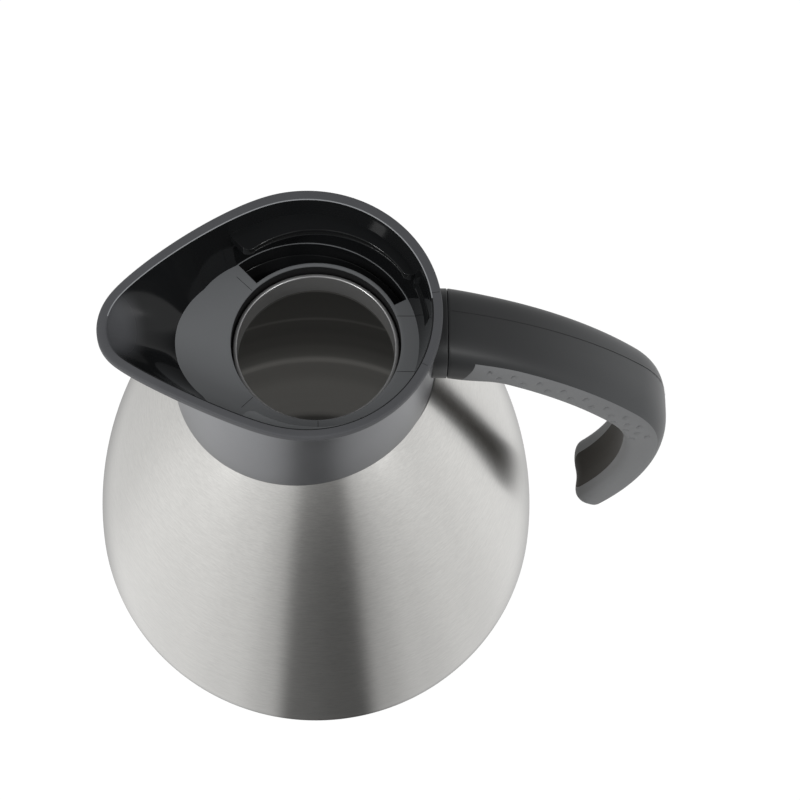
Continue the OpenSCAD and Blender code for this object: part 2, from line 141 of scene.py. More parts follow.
def rounded(points: Sequence[Point3], steps: int = 5) -> list[Point2]:
    """Round the corners of an open line.

    Args:
        points: corners as (r, z, radius); a radius of 0 keeps the corner.
        steps: spans in each rounded corner.

    Returns:
        The line's points.
    """
    line: list[Point2] = []
    for i, (x, y, radius) in enumerate(points):
        if radius <= 0.0 or i in (0, len(points) - 1):
            line.append((x, y))
            continue
        before, here, after = Vector(points[i - 1][:2]), Vector((x, y)), Vector(points[i + 1][:2])
        back, ahead = before - here, after - here
        cut = min(radius, back.length * 0.49, ahead.length * 0.49)
        start, end = here + back.normalized() * cut, here + ahead.normalized() * cut
        for k in range(steps + 1):
            t = k / steps
            p = start * (1 - t) ** 2 + here * 2 * t * (1 - t) + end * t * t
            line.append((p.x, p.y))
    return line


def resampled(line: Sequence[Point2], count: int) -> list[Point2]:
    """Return count points evenly spaced along an open line."""
    pts = np.array(line, float)
    run = np.concatenate([[0.0], np.cumsum(np.hypot(*np.diff(pts, axis=0).T))])
    at = np.linspace(0.0, run[-1], count)
    return list(zip(np.interp(at, run, pts[:, 0]), np.interp(at, run, pts[:, 1])))


# Meshes


def new_piece(name: str, points: Sequence[Point3], faces: Sequence[Sequence[int]],
              materials: Sequence[bpy.types.Material],
              which: Optional[Sequence[int]] = None, sharp: float = 32.0) -> bpy.types.Object:
    """Make a mesh object from millimetre points and let it ride on the part.

    Args:
        name: the piece's name.
        points: the mesh's points in millimetres.
        faces: the faces as point indices.
        materials: the piece's materials.
        which: the material index of each face.
        sharp: edges that turn by more than this angle, in degrees, stay crisp.

    Returns:
        The new object.
    """
    mesh = bpy.data.meshes.new(name)
    mesh.from_pydata([(x * MM, y * MM, z * MM) for x, y, z in points], [], [tuple(f) for f in faces])
    for material in materials:
        mesh.materials.append(material)
    if which is not None:
        mesh.polygons.foreach_set("material_index", list(which))
    edit = bmesh.new()
    edit.from_mesh(mesh)
    bmesh.ops.remove_doubles(edit, verts=edit.verts, dist=WELD)
    bmesh.ops.recalc_face_normals(edit, faces=edit.faces)
    edit.to_mesh(mesh)
    edit.free()
    return settle(name, mesh, sharp)


def settle(name: str, mesh: bpy.types.Mesh, sharp: float) -> bpy.types.Object:
    """Smooth a mesh, make an object of it and let it ride on the part.

    Args:
        name: the piece's name.
        mesh: the piece's mesh.
        sharp: edges that turn by more than this angle, in degrees, stay crisp.

    Returns:
        The new object.
    """
    mesh.shade_smooth()
    mesh.set_sharp_from_angle(angle=math.radians(sharp))
    piece = bpy.data.objects.new(name, mesh)
    bpy.context.scene.collection.objects.link(piece)
    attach(piece, ROOT)
    LOG.info("%s: %d points", name, len(mesh.vertices))
    return piece


def loop_faces(rows: int, columns: int, closed_rows: bool = False,
               closed_columns: bool = True) -> list[tuple[int, int, int, int]]:
    """Join a grid of points, stored row by row, with quads.

    Args:
        rows: number of rows.
        columns: points in each row.
        closed_rows: whether the last row joins the first.
        closed_columns: whether each row is a closed loop.

    Returns:
        The faces, row by row.
    """
    faces = []
    for i in range(rows if closed_rows else rows - 1):
        for j in range(columns if closed_columns else columns - 1):
            here, above = i * columns, ((i + 1) % rows) * columns
            following = (j + 1) % columns
            faces.append((here + j, here + following, above + following, above + j))
    return faces


def lathe(name: str, line: Sequence[Point2], materials: Sequence[bpy.types.Material],
          closed: bool = True, segments: int = 256, sharp: float = 32.0) -> bpy.types.Object:
    """Turn a line of (r, z) points round the axis.

    Args:
        name: the piece's name.
        line: the outline in millimetres.
        materials: the piece's materials.
        closed: whether the outline's end joins its start.
        segments: spans in the full turn.
        sharp: edges that turn by more than this angle stay crisp.

    Returns:
        The turned piece.
    """
    points = [polar(r, FULL_TURN * j / segments, z) for r, z in line for j in range(segments)]
    faces = loop_faces(len(line), segments, closed_rows=closed)
    return new_piece(name, points, faces, materials, sharp=sharp)


def seam(name: str, line: Sequence[Point3], width: float) -> bpy.types.Object:
    """Lay a hair-thin dark strip along a line, as a mould's parting line shows.

    Args:
        name: the piece's name.
        line: the line's points in millimetres.
        width: width of the strip.

    Returns:
        The strip.
    """
    sunk = -0.1
    points: list[Point3] = []
    for i, here in enumerate(line):
        way = Vector(line[min(i + 1, len(line) - 1)]) - Vector(line[max(i - 1, 0)])
        side = Vector((-way.y, way.x, 0.0)).normalized() * width / 2.0
        for sign, lift in ((-1, 0.0), (1, 0.0), (1, sunk), (-1, sunk)):
            p = Vector(here) + side * sign
            points.append((p.x, p.y, p.z + lift))
    faces: list[Sequence[int]] = list(loop_faces(len(line), 4))
    faces += [(0, 1, 2, 3), tuple(len(points) - k for k in (4, 3, 2, 1))]
    return new_piece(name, points, faces, [Finish.SEAM.material], sharp=20)


# Materials


class Tree:
    """A node tree, written from code."""

    def __init__(self, tree: bpy.types.NodeTree) -> None:
        """Take over a tree and empty it.

        Args:
            tree: the tree to write.
        """
        self.tree = tree
        self.tree.nodes.clear()

    def node(self, kind: str, **settings: object) -> bpy.types.Node:
        """Add a node and set its properties.

        Args:
            kind: the node's type.
            settings: property names and values.

        Returns:
            The node.
        """
        made = self.tree.nodes.new(kind)
        for key, value in settings.items():
            setattr(made, key, value)
        return made

    def link(self, source: Socket, target: Socket) -> None:
        """Join two sockets."""
        self.tree.links.new(source, target)

    def feed(self, target: Socket, value: object) -> None:
        """Set a socket to a number or link it to another socket.

        Args:
            target: the socket to fill.
            value: a number, a tuple or an output socket.
        """
        if isinstance(value, Socket):
            self.link(value, target)
        else:
            target.default_value = value

    def math(self, operation: str, a: object, b: object = 0.0) -> Socket:
        """Add a Math node.

        Args:
            operation: the node's operation.
            a: first input.
            b: second input.

        Returns:
            The result's socket.
        """
        made = self.node("ShaderNodeMath", operation=operation)
        self.feed(made.inputs[0], a)
        self.feed(made.inputs[1], b)
        return made.outputs[0]

    def times(self, a: object, b: object) -> Socket:
        """Return the product of two inputs."""
        return self.math("MULTIPLY", a, b)

    def plus(self, a: object, b: object) -> Socket:
        """Return the sum of two inputs."""
        return self.math("ADD", a, b)

    def ranged(self, value: object, **limits: float) -> Socket:
        """Add a Map Range node.

        Args:
            value: the input.
            limits: the limits that differ from 0 and 1, such as to_min.

        Returns:
            The result's socket.
        """
        made = self.node("ShaderNodeMapRange")
        self.feed(made.inputs["Value"], value)
        for name, limit in limits.items():
            made.inputs[name.replace("_", " ").title()].default_value = limit
        return made.outputs["Result"]

    def step(self, value: object, low: float, high: float) -> Socket:
        """Add a smooth step from 0 at low to 1 at high.

        Args:
            value: the input.
            low: where the result leaves 0.
            high: where the result reaches 1.

        Returns:
            The result's socket.
        """
        result = self.ranged(value, from_min=low, from_max=high)
        result.node.interpolation_type = "SMOOTHSTEP"
        return result

    def span(self, value: object, low: float, high: float) -> Socket:
        """Stretch an input of 0 to 1 over low to high."""
        return self.ranged(value, to_min=low, to_max=high)

    def blend(self, factor: object, a: object, b: object) -> Socket:
        """Mix two colours.

        Args:
            factor: share of the second colour.
            a: first colour.
            b: second colour.

        Returns:
            The mixed colour's socket.
        """
        made = self.node("ShaderNodeMix", data_type="RGBA")
        for target, value in ((made.inputs[0], factor), (made.inputs[6], a), (made.inputs[7], b)):
            self.feed(target, (*value, 1.0) if isinstance(value, tuple) else value)
        return made.outputs[2]

    def ramp(self, value: object, stops: Sequence[Point2]) -> Socket:
        """Turn an input of 0 to 1 into brightness by a smooth ramp.

        Args:
            value: the input.
            stops: places and brightnesses along the ramp.

        Returns:
            The brightness's socket.
        """
        made = self.node("ShaderNodeValToRGB")
        made.color_ramp.interpolation = "EASE"
        elements = made.color_ramp.elements
        for i, (place, level) in enumerate(stops):
            stop = elements[i] if i < 2 else elements.new(place)
            stop.position = place
            stop.color = (level, level, level, 1.0)
        self.feed(made.inputs[0], value)
        return made.outputs[0]

    def parts(self, vector: Socket) -> list[Socket]:
        """Return a vector's three parts."""
        made = self.node("ShaderNodeSeparateXYZ")
        self.link(vector, made.inputs[0])
        return list(made.outputs)


class Graph(Tree):
    """A material's node graph round a Principled shader."""

    def __init__(self, name: str) -> None:
        """Start an empty material.

        Args:
            name: the material's name.
        """
        self.material = bpy.data.materials.new(name)
        self.material.use_nodes = True
        super().__init__(self.material.node_tree)
        self.output = self.node("ShaderNodeOutputMaterial")
        self.shader = self.node("ShaderNodeBsdfPrincipled")
        self.link(self.shader.outputs["BSDF"], self.output.inputs["Surface"])
        self.place = self.node("ShaderNodeTexCoord").outputs["Object"]

    def put(self, inputs: dict[str, object]) -> None:
        """Fill inputs of the shader.

        Args:
            inputs: numbers, colours or sockets by the input's name.
        """
        for name, value in inputs.items():
            self.feed(self.shader.inputs[name], (*value, 1.0) if isinstance(value, tuple) else value)

    def noise(self, scale: float = 1.0, detail: float = 2.0, roughness: float = 0.5,
              place: Optional[Socket] = None) -> Socket:
        """Add a noise texture.

        Args:
            scale: waves to the metre.
            detail: layers of finer noise.
            roughness: strength of the finer noise.
            place: the place to read it at, object space if not given.

        Returns:
            The noise's value, about 0.5 in the mean.
        """
        made = self.node("ShaderNodeTexNoise")
        self.link(place or self.place, made.inputs["Vector"])
        for name, value in (("Scale", scale), ("Detail", detail), ("Roughness", roughness)):
            made.inputs[name].default_value = value
        return made.outputs["Fac"]

    def mixed_noise(self, a: Socket, b: Socket, share: float) -> Socket:
        """Return two noises weighed together, with a share for the first and the rest for the second."""
        return self.plus(self.times(a, share), self.times(b, 1.0 - share))

    def bump(self, height: Socket, strength: float, distance: float) -> None:
        """Bump the surface by a height socket.

        Args:
            height: the height.
            strength: share of the bump used.
            distance: depth in millimetres of a height of 1.
        """
        made = self.node("ShaderNodeBump")
        made.inputs["Strength"].default_value = strength
        made.inputs["Distance"].default_value = distance * MM
        self.link(height, made.inputs["Height"])
        self.link(made.outputs["Normal"], self.shader.inputs["Normal"])

    def turned(self, across: float, around: float) -> Socket:
        """Return a place socket whose noise runs in rings round the axis.

        Args:
            across: scale across the rings.
            around: scale round the rings.

        Returns:
            The place's socket.
        """
        x, y, z = self.parts(self.place)
        radius = self.math("SQRT", self.plus(self.times(x, x), self.times(y, y)))
        joined = self.node("ShaderNodeCombineXYZ")
        self.link(self.times(radius, across), joined.inputs[0])
        self.link(self.times(self.math("ARCTAN2", y, x), around), joined.inputs[1])
        self.link(self.times(z, across), joined.inputs[2])
        return joined.outputs[0]


@dataclass(frozen=True)
class BrushedSteel:
    """Sheet steel brushed in rings round the body's axis, with painted shade that darkens it where it turns
    away.
    """

    name: str = "brushed_steel"
    colour: Colour = tone(218, 217, 214)
    roughness: float = 0.3
    spread: float = 0.72
    lines: float = 5200.0
    contrast: float = 0.09
    line_depth: float = 0.0022
    edge_shade: float = 0.42

    def make(self) -> bpy.types.Material:
        """Build the material and return it."""
        g = Graph(self.name)
        fine = g.noise(roughness=0.6, place=g.turned(across=self.lines, around=34.0))
        broad = g.noise(place=g.turned(across=self.lines * 0.3, around=13.0))
        cloud = g.noise(scale=26.0)
        lines = g.mixed_noise(fine, broad, 0.6)
        dark, light = shaded(self.colour, 1.0 - self.contrast), shaded(self.colour, 1.0 + 0.6 * self.contrast)
        lined = g.blend(g.step(lines, 0.3, 0.7), dark, light)
        # Painted shade: the colour darkens where the surface turns away from the view.
        turned_away = g.node("ShaderNodeLayerWeight")
        turned_away.inputs["Blend"].default_value = 0.5
        edge = g.step(turned_away.outputs["Facing"], 0.78, 1.0)
        rough = g.span(lines, self.roughness - 0.05, self.roughness + 0.05)
        tangent = g.node("ShaderNodeTangent", direction_type="RADIAL", axis="Z")
        g.put({"Base Color": g.blend(edge, lined, shaded(self.colour, self.edge_shade)), "Metallic": 1.0,
               "Roughness": g.plus(rough, g.span(cloud, -0.02, 0.02)), "Anisotropic": self.spread,
               "Anisotropic Rotation": 0.25, "Tangent": tangent.outputs[0]})
        g.bump(lines, 0.3, self.line_depth)
        return g.material


@dataclass(frozen=True)
class SatinSteel:
    """Pressed sheet steel with soft clouds, turning marks and, where given, painted light and shade in bands
    by height.

    The glow stands for the light that bounces about inside the closed liner.
    """

    name: str
    colour: Colour = tone(180, 178, 174)
    roughness: float = 0.28
    cloud: float = 0.06
    metal: float = 1.0
    glow: float = 0.0
    height: float = 200.0
    bands: tuple[Point2, ...] = ((0.0, 1.0), (1.0, 1.0))

    def make(self) -> bpy.types.Material:
        """Build the material and return it."""
        g = Graph(self.name)
        rings = g.noise(place=g.turned(across=900.0, around=1.0))
        clouds = g.noise(scale=60.0, detail=3.0, roughness=0.55)
        plain = g.blend(g.mixed_noise(rings, clouds, 0.5), shaded(self.colour, 0.88), self.colour)
        # Painted light and shade: bands by height darken both the colour and the glow.
        level = g.ramp(g.math("DIVIDE", g.parts(g.place)[2], self.height * MM), self.bands)
        painted_light = g.blend(level, (0.0, 0.0, 0.0), plain)
        g.put({"Base Color": painted_light, "Metallic": self.metal,
               "Roughness": g.span(clouds, self.roughness - self.cloud, self.roughness + self.cloud),
               "Emission Color": painted_light, "Emission Strength": self.glow})
        g.bump(rings, 0.25, 0.004)
        return g.material


@dataclass(frozen=True)
class Moulding:
    """Moulded plastic with a fine eroded grain and soft mottling.

    Where pale gives a start, an end and a gain, a painted sheen makes the colour lighter by the gain between
    two distances towards the handle, in millimetres.
    """

    name: str
    colour: Colour
    roughness: float
    grain: float = 2200.0
    grain_depth: float = 0.012
    mottle: float = 0.12
    metal: float = 0.0
    shine: float = 0.5
    pale: Sizes = (0.0, 1.0, 1.0)

    def make(self) -> bpy.types.Material:
        """Build the material and return it."""
        g = Graph(self.name)
        pits = g.noise(scale=self.grain, roughness=0.6)
        clouds = g.noise(scale=55.0, detail=3.0)
        low, high = shaded(self.colour, 1.0 - self.mottle), shaded(self.colour, 1.0 + self.mottle)
        spots = g.mixed_noise(clouds, pits, 0.7)
        # Painted sheen: the colour grows lighter towards the handle.
        start, end, gain = self.pale
        sheen_colour = g.blend(spots, shaded(low, gain), shaded(high, gain))
        along = g.step(g.parts(g.place)[0], start * MM, end * MM)
        g.put({"Base Color": g.blend(along, g.blend(spots, low, high), sheen_colour), "Metallic": self.metal,
               "Roughness": g.span(clouds, self.roughness - 0.04, self.roughness + 0.04),
               "Specular IOR Level": self.shine})
        g.bump(pits, 0.4, self.grain_depth)
        return g.material


@dataclass(frozen=True)
class GlossMoulding:
    """High-gloss black plastic that turns matt towards one point, as at the spout's lip."""

    name: str
    colour: Colour
    matt_colour: Colour
    lip: Point3
    near: float = 6.0
    far: float = 15.0
    shine: float = 0.27

    def make(self) -> bpy.types.Material:
        """Build the material and return it."""
        g = Graph(self.name)
        away = g.node("ShaderNodeVectorMath", operation="DISTANCE")
        g.link(g.place, away.inputs[0])
        away.inputs[1].default_value = tuple(v * MM for v in self.lip)
        matt = g.step(away.outputs["Value"], self.far * MM, self.near * MM)
        clouds = g.noise(scale=38.0, detail=3.0)
        pits = g.noise(scale=2200.0, roughness=0.6)
        gloss = g.blend(clouds, shaded(self.colour, 0.8), shaded(self.colour, 1.2))
        g.put({"Base Color": g.blend(matt, gloss, self.matt_colour),
               "Roughness": g.plus(g.span(matt, 0.1, 0.5), g.span(clouds, -0.03, 0.03)),
               "Specular IOR Level": self.shine})
        g.bump(g.plus(g.times(pits, g.span(matt, 0.05, 1.0)), clouds), 0.3, 0.012)
        return g.material


@dataclass(frozen=True)
class PlainMetal:
    """Dull or bright metal for the small hidden pieces."""

    name: str
    colour: Colour
    roughness: float

    def make(self) -> bpy.types.Material:
        """Build the material and return it."""
        g = Graph(self.name)
        clouds = g.noise(scale=220.0, detail=4.0, roughness=0.6)
        g.put({"Base Color": g.blend(clouds, shaded(self.colour, 0.75), self.colour), "Metallic": 1.0,
               "Roughness": g.span(clouds, self.roughness - 0.08, self.roughness + 0.12)})
        g.bump(clouds, 0.3, 0.02)
        return g.material


RIM_GREY = tone(81, 82, 85)
# Painted light and shade on the liner by height, from the table at 0 to 200 mm at 1: its floor, belly,
# shoulder and neck
LINER_LIGHT_BANDS = ((0.0, 0.17), (0.056, 0.17), (0.066, 0.62), (0.1, 0.62), (0.13, 0.5), (0.143, 0.5),
               (0.151, 0.76), (0.163, 0.36), (0.175, 0.3), (0.2, 0.21), (0.24, 0.165), (0.276, 0.17),
               (0.284, 0.3), (0.292, 0.165), (0.4, 0.14), (1.0, 0.14))


class Finish(Enum):
    """The finishes of the carafe's pieces."""

    BODY = BrushedSteel()
    # The liner's colour and glow carry painted bands of light and shade.
    LINER = SatinSteel("liner_finish", tone(246, 244, 239), 0.45, metal=0.35, glow=0.075, bands=LINER_LIGHT_BANDS)
    LIP = SatinSteel("lip_finish", tone(196, 196, 196), 0.3, metal=0.72)
    PLATE = SatinSteel("plate_finish", tone(170, 169, 167), 0.4, 0.1)
    FOIL = PlainMetal("copper_foil", tone(214, 140, 96), 0.25)
    GETTER = PlainMetal("sintered_getter", tone(110, 110, 112), 0.7)
    SOLDER = PlainMetal("solder", tone(150, 150, 152), 0.5)
    SPRING = PlainMetal("spring_wire", tone(180, 180, 182), 0.3)
    ZINC = PlainMetal("zinc_screw", tone(190, 190, 186), 0.35)
    RIM = Moulding("rim_finish", RIM_GREY, 0.55, shine=0.35)
    SHELF = Moulding("shelf_finish", tone(112, 114, 116), 0.6, grain_depth=0.006, mottle=0.05, shine=0.3)
    GLOSS = GlossMoulding("gloss_finish", tone(26, 27, 28), RIM_GREY, (-62.5, 0.0, 182.5))
    SHROUD = Moulding("shroud_finish", tone(137, 138, 141), 0.36, 2600.0, 0.006, 0.16, 0.85)
    # The cover carries a painted sheen that lightens it towards the bend.
    COVER = Moulding("cover_finish", tone(42, 43, 44), 0.42, grain_depth=0.006, shine=0.4,
                     pale=(52.0, 106.0, 3.0))
    # A painted highlight for the far inner edge of the rim's face.
    EDGE = Moulding("painted_edge_highlight", tone(150, 152, 155), 0.4, grain_depth=0.004)
    GRIP = Moulding("grip_finish", tone(122, 123, 124), 0.62, 1500.0, 0.012, shine=0.35)
    PALM = Moulding("palm_finish", tone(48, 45, 41), 0.6, 1500.0, 0.012, shine=0.3)
    CORE = Moulding("core_finish", tone(28, 28, 29), 0.5)
    SEAM = Moulding("seam_shadow", tone(16, 16, 17), 0.7)
    BASE = Moulding("base_finish", tone(30, 30, 31), 0.55, 1800.0, 0.03)
    GASKET = Moulding("gasket_rubber", tone(20, 20, 20), 0.5, 900.0, 0.01)

    @property
    def material(self) -> bpy.types.Material:
        """The finish's material, built once."""
        return bpy.data.materials.get(self.value.name) or self.value.make()


# Steel body


@dataclass
class SteelBody:
    """The double-walled steel body with its neck, in millimetres.

    The powers say how full the curves above and below the belly are, 2 for an ellipse. The bead's place is
    above the shoulder, and the liner's shoulder ends liner_step nearer the axis than the outer one.
    """

    radius: float = 70.0
    belly_z: float = 44.0
    rise: float = 138.2
    rise_power: float = 1.9
    base_z: float = 3.7
    drop_power: float = 1.91
    base_radius: float = 47.0
    shoulder_radius: float = 36.0
    sheet: float = 0.6
    gap: float = 3.4
    neck_radius: float = 23.4
    neck_height: float = 9.0
    neck_gap: float = 0.0
    neck_foot: float = 3.0
    bead: float = 0.5
    bead_height: float = 1.6
    bead_place: float = 6.35
    fillet: float = 2.4
    liner_step: float = 3.0
    hole_gap: float = 0.6
    steps: int = 72

    def above(self, r: float, inset: float = 0.0) -> float:
        """Return the shoulder's height at radius r, inset by a distance."""
        share = 1.0 - (r / (self.radius - inset)) ** self.rise_power
        return self.belly_z + (self.rise - inset) * max(share, 0.0) ** (1.0 / self.rise_power)

    def below(self, r: float, inset: float = 0.0) -> float:
        """Return the underside's height at radius r, inset by a distance."""
        share = 1.0 - (r / (self.radius - inset)) ** self.drop_power
        return self.belly_z - (self.drop - inset) * max(share, 0.0) ** (1.0 / self.drop_power)

    @property
    def drop(self) -> float:
        """Drop of the underside's full curve, which passes through the base's edge."""
        share = 1.0 - (self.base_radius / self.radius) ** self.drop_power
        return (self.belly_z - self.base_z) / share ** (1.0 / self.drop_power)

    @property
    def shoulder_z(self) -> float:
        """Height at which the shoulder turns in to the neck."""
        return self.above(self.shoulder_radius)

    @property
    def neck_top(self) -> float:
        """Height of the steel lip."""
        return self.shoulder_z + self.neck_height

    @property
    def neck_outer(self) -> float:
        """Outer radius of the neck."""
        return self.neck_radius + 2.0 * self.sheet + self.neck_gap

    @property
    def liner_neck_z(self) -> float:
        """Height at which the liner's shoulder has turned into its neck."""
        return self.above(self.shoulder_radius - self.liner_step, self.sheet + self.gap) + self.fillet

    @staticmethod
    def superellipse(size: Point2, power: float, t: float) -> Point2:
        """Return the point at parameter t of a fuller or slimmer ellipse with the given half axes."""
        return (size[0] * math.cos(t) ** (2.0 / power), size[1] * math.sin(t) ** (2.0 / power))

    def curve(self, inset: float, r_low: float, r_high: float) -> list[Point2]:
        """Trace the body's side from the base up to the shoulder.

        Args:
            inset: distance inside the outer surface.
            r_low: radius at which the line starts below.
            r_high: radius at which it ends above.

        Returns:
            The line's (r, z) points.
        """
        full = self.radius - inset
        line = []
        last = math.acos((r_low / full) ** (self.drop_power / 2.0))
        for i in range(self.steps, 0, -1):
            r, down = self.superellipse((full, self.drop - inset), self.drop_power, last * i / self.steps)
            line.append((r, self.belly_z - down))
        last = math.acos((r_high / full) ** (self.rise_power / 2.0))
        for i in range(self.steps * 2 + 1):
            r, up = self.superellipse((full, self.rise - inset), self.rise_power, last * i / (self.steps * 2))
            line.append((r, self.belly_z + up))
        return line

    def neck_turn(self, r: float, z: float) -> list[Point2]:
        """Trace the quarter round from the shoulder, at height z, up into the neck of radius r."""
        f = self.fillet
        turn = [math.radians(a) for a in range(0, 91, 10)]
        return [(r + f - f * math.sin(a), z + f - f * math.cos(a)) for a in turn]

    def shell_line(self, inset: float) -> list[Point2]:
        """Return the outer wall's line, inset by a distance."""
        r = self.neck_outer - inset
        low, high = self.shoulder_z + self.bead_place, self.shoulder_z + self.bead_place + self.bead_height
        crest = r + self.bead
        bead = [(r, low), (crest, mix(low, high, 0.35)), (crest, mix(low, high, 0.65)), (r, high)]
        turn = self.neck_turn(r, self.shoulder_z + self.neck_foot - self.fillet - inset)
        return (self.curve(inset, self.base_radius - inset, self.shoulder_radius - inset) + turn + bead
                + [(r, self.neck_top - self.sheet)])

    def liner_line(self, inset: float) -> list[Point2]:
        """Return the liner's line, inset by a distance from its outer face."""
        start = self.sheet + self.gap + inset
        shoulder = self.shoulder_radius - self.liner_step
        r = self.neck_radius + self.sheet - inset
        turn = self.neck_turn(r, self.liner_neck_z - self.fillet - inset)
        return (self.curve(start, self.base_radius * 0.94, shoulder - inset) + turn
                + [(r, self.neck_top - self.sheet)])

    def build(self) -> None:
        """Build the shell, the liner with its lip, the liner's bottom and the neck's gasket."""
        shell = lathe("steel_shell", self.shell_line(0.0) + self.shell_line(self.sheet)[::-1],
                      [Finish.BODY.material], segments=320)
        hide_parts("outer_shell")
        inner, outer = self.liner_line(self.sheet), self.liner_line(0.0)
        liner = lathe("steel_liner", outer + inner[::-1], [Finish.LINER.material])
        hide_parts("inner_liner")
        self.build_lip()
        self.build_bottom(inner[0])
        self.build_gasket()

    def build_lip(self) -> None:
        """Build the rolled lip and the bright turned band inside the neck."""
        top, r_in, r_out = self.neck_top, self.neck_radius, self.neck_outer
        foot = self.liner_neck_z - self.sheet
        line = rounded([(r_in + 0.35, foot + 0.2, 0), (r_in - 0.02, foot + 0.5, 0.3), (r_in - 0.02, top, 0.8),
                        (r_out + 0.02, top, 0.6), (r_out + 0.02, top - 1.6, 0), (r_out - 0.3, top - 1.6, 0)])
        lathe("neck_lip", line, [Finish.LIP.material], closed=False)

    def build_bottom(self, edge: Point2) -> None:
        """Build the liner's domed bottom with its pressed rings.

        Args:
            edge: radius and height of the liner's seam.
        """
        r, z = edge
        line = rounded([(r, z - 0.6, 0), (r, z + 0.4, 0.5), (r - 1.2, z + 0.4, 0.4), (r - 2.4, z - 0.1, 0.8),
                        (r * 0.82, z + 0.6, 2.0), (r * 0.62, z + 2.5, 3.0), (r * 0.34, z + 2.5, 1.0),
                        (r * 0.32, z + 2.1, 0.5), (r * 0.28, z + 2.1, 0.5), (0.0, z + 2.5, 0)])
        under = [(0.0, z + 1.9), (r * 0.62, z + 1.9), (r - 0.6, z - 0.6)]
        bottom = lathe("liner_floor", line + under, [Finish.LINER.material], sharp=40)
        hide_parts("liner_bottom")

    def build_gasket(self) -> None:
        """Build the soft ring that closes the gap between the neck and the collar."""
        r, hole = self.neck_outer, self.neck_outer + self.hole_gap
        low, top = self.shoulder_z + 5.6, self.neck_top
        line = rounded([(r, low, 0), (hole, low, 0), (hole, top - 1.3, 0.1), (r + 0.3, top - 1.1, 0.1),
                        (r, top - 1.4, 0.1), (r, low, 0)])
        gasket = lathe("neck_seal", line[:-1], [Finish.GASKET.material], segments=160)
        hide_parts("neck_gasket")


# Foot


@dataclass
class Foot:
    """The moulded cap under the body."""

    body: SteelBody
    thickness: float = 2.2
    edge: float = 2.0
    groove: float = 0.8

    def build(self) -> None:
        """Build the cap with its rounded edge, ring groove and fine standing ring."""
        r = self.body.base_radius
        outer = r + self.thickness
        top = self.body.below(outer)
        up = [p for p in self.body.curve(0.0, r, self.body.shoulder_radius) if p[1] < top - 0.2]
        line = rounded([(0.0, 0.35, 0), (r * 0.3, 0.35, 0.4), (r * 0.32, 0.0, 0.3), (r * 0.78, 0.0, 0.3),
                        (r * 0.78, self.groove, 0.3), (r * 0.84, self.groove, 0.3), (r * 0.84, 0.0, 0.3),
                        (outer, 0.0, self.edge), (outer, top - 0.1, 0.4), (outer - 0.9, top - 0.1, 0.0)], 6)
        inside = up[::-1] + [(0.0, self.body.base_z - 0.02)]
        cap = lathe("foot_cap", line + inside, [Finish.BASE.material], segments=200)
        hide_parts("base_cap")


# Pouring collar


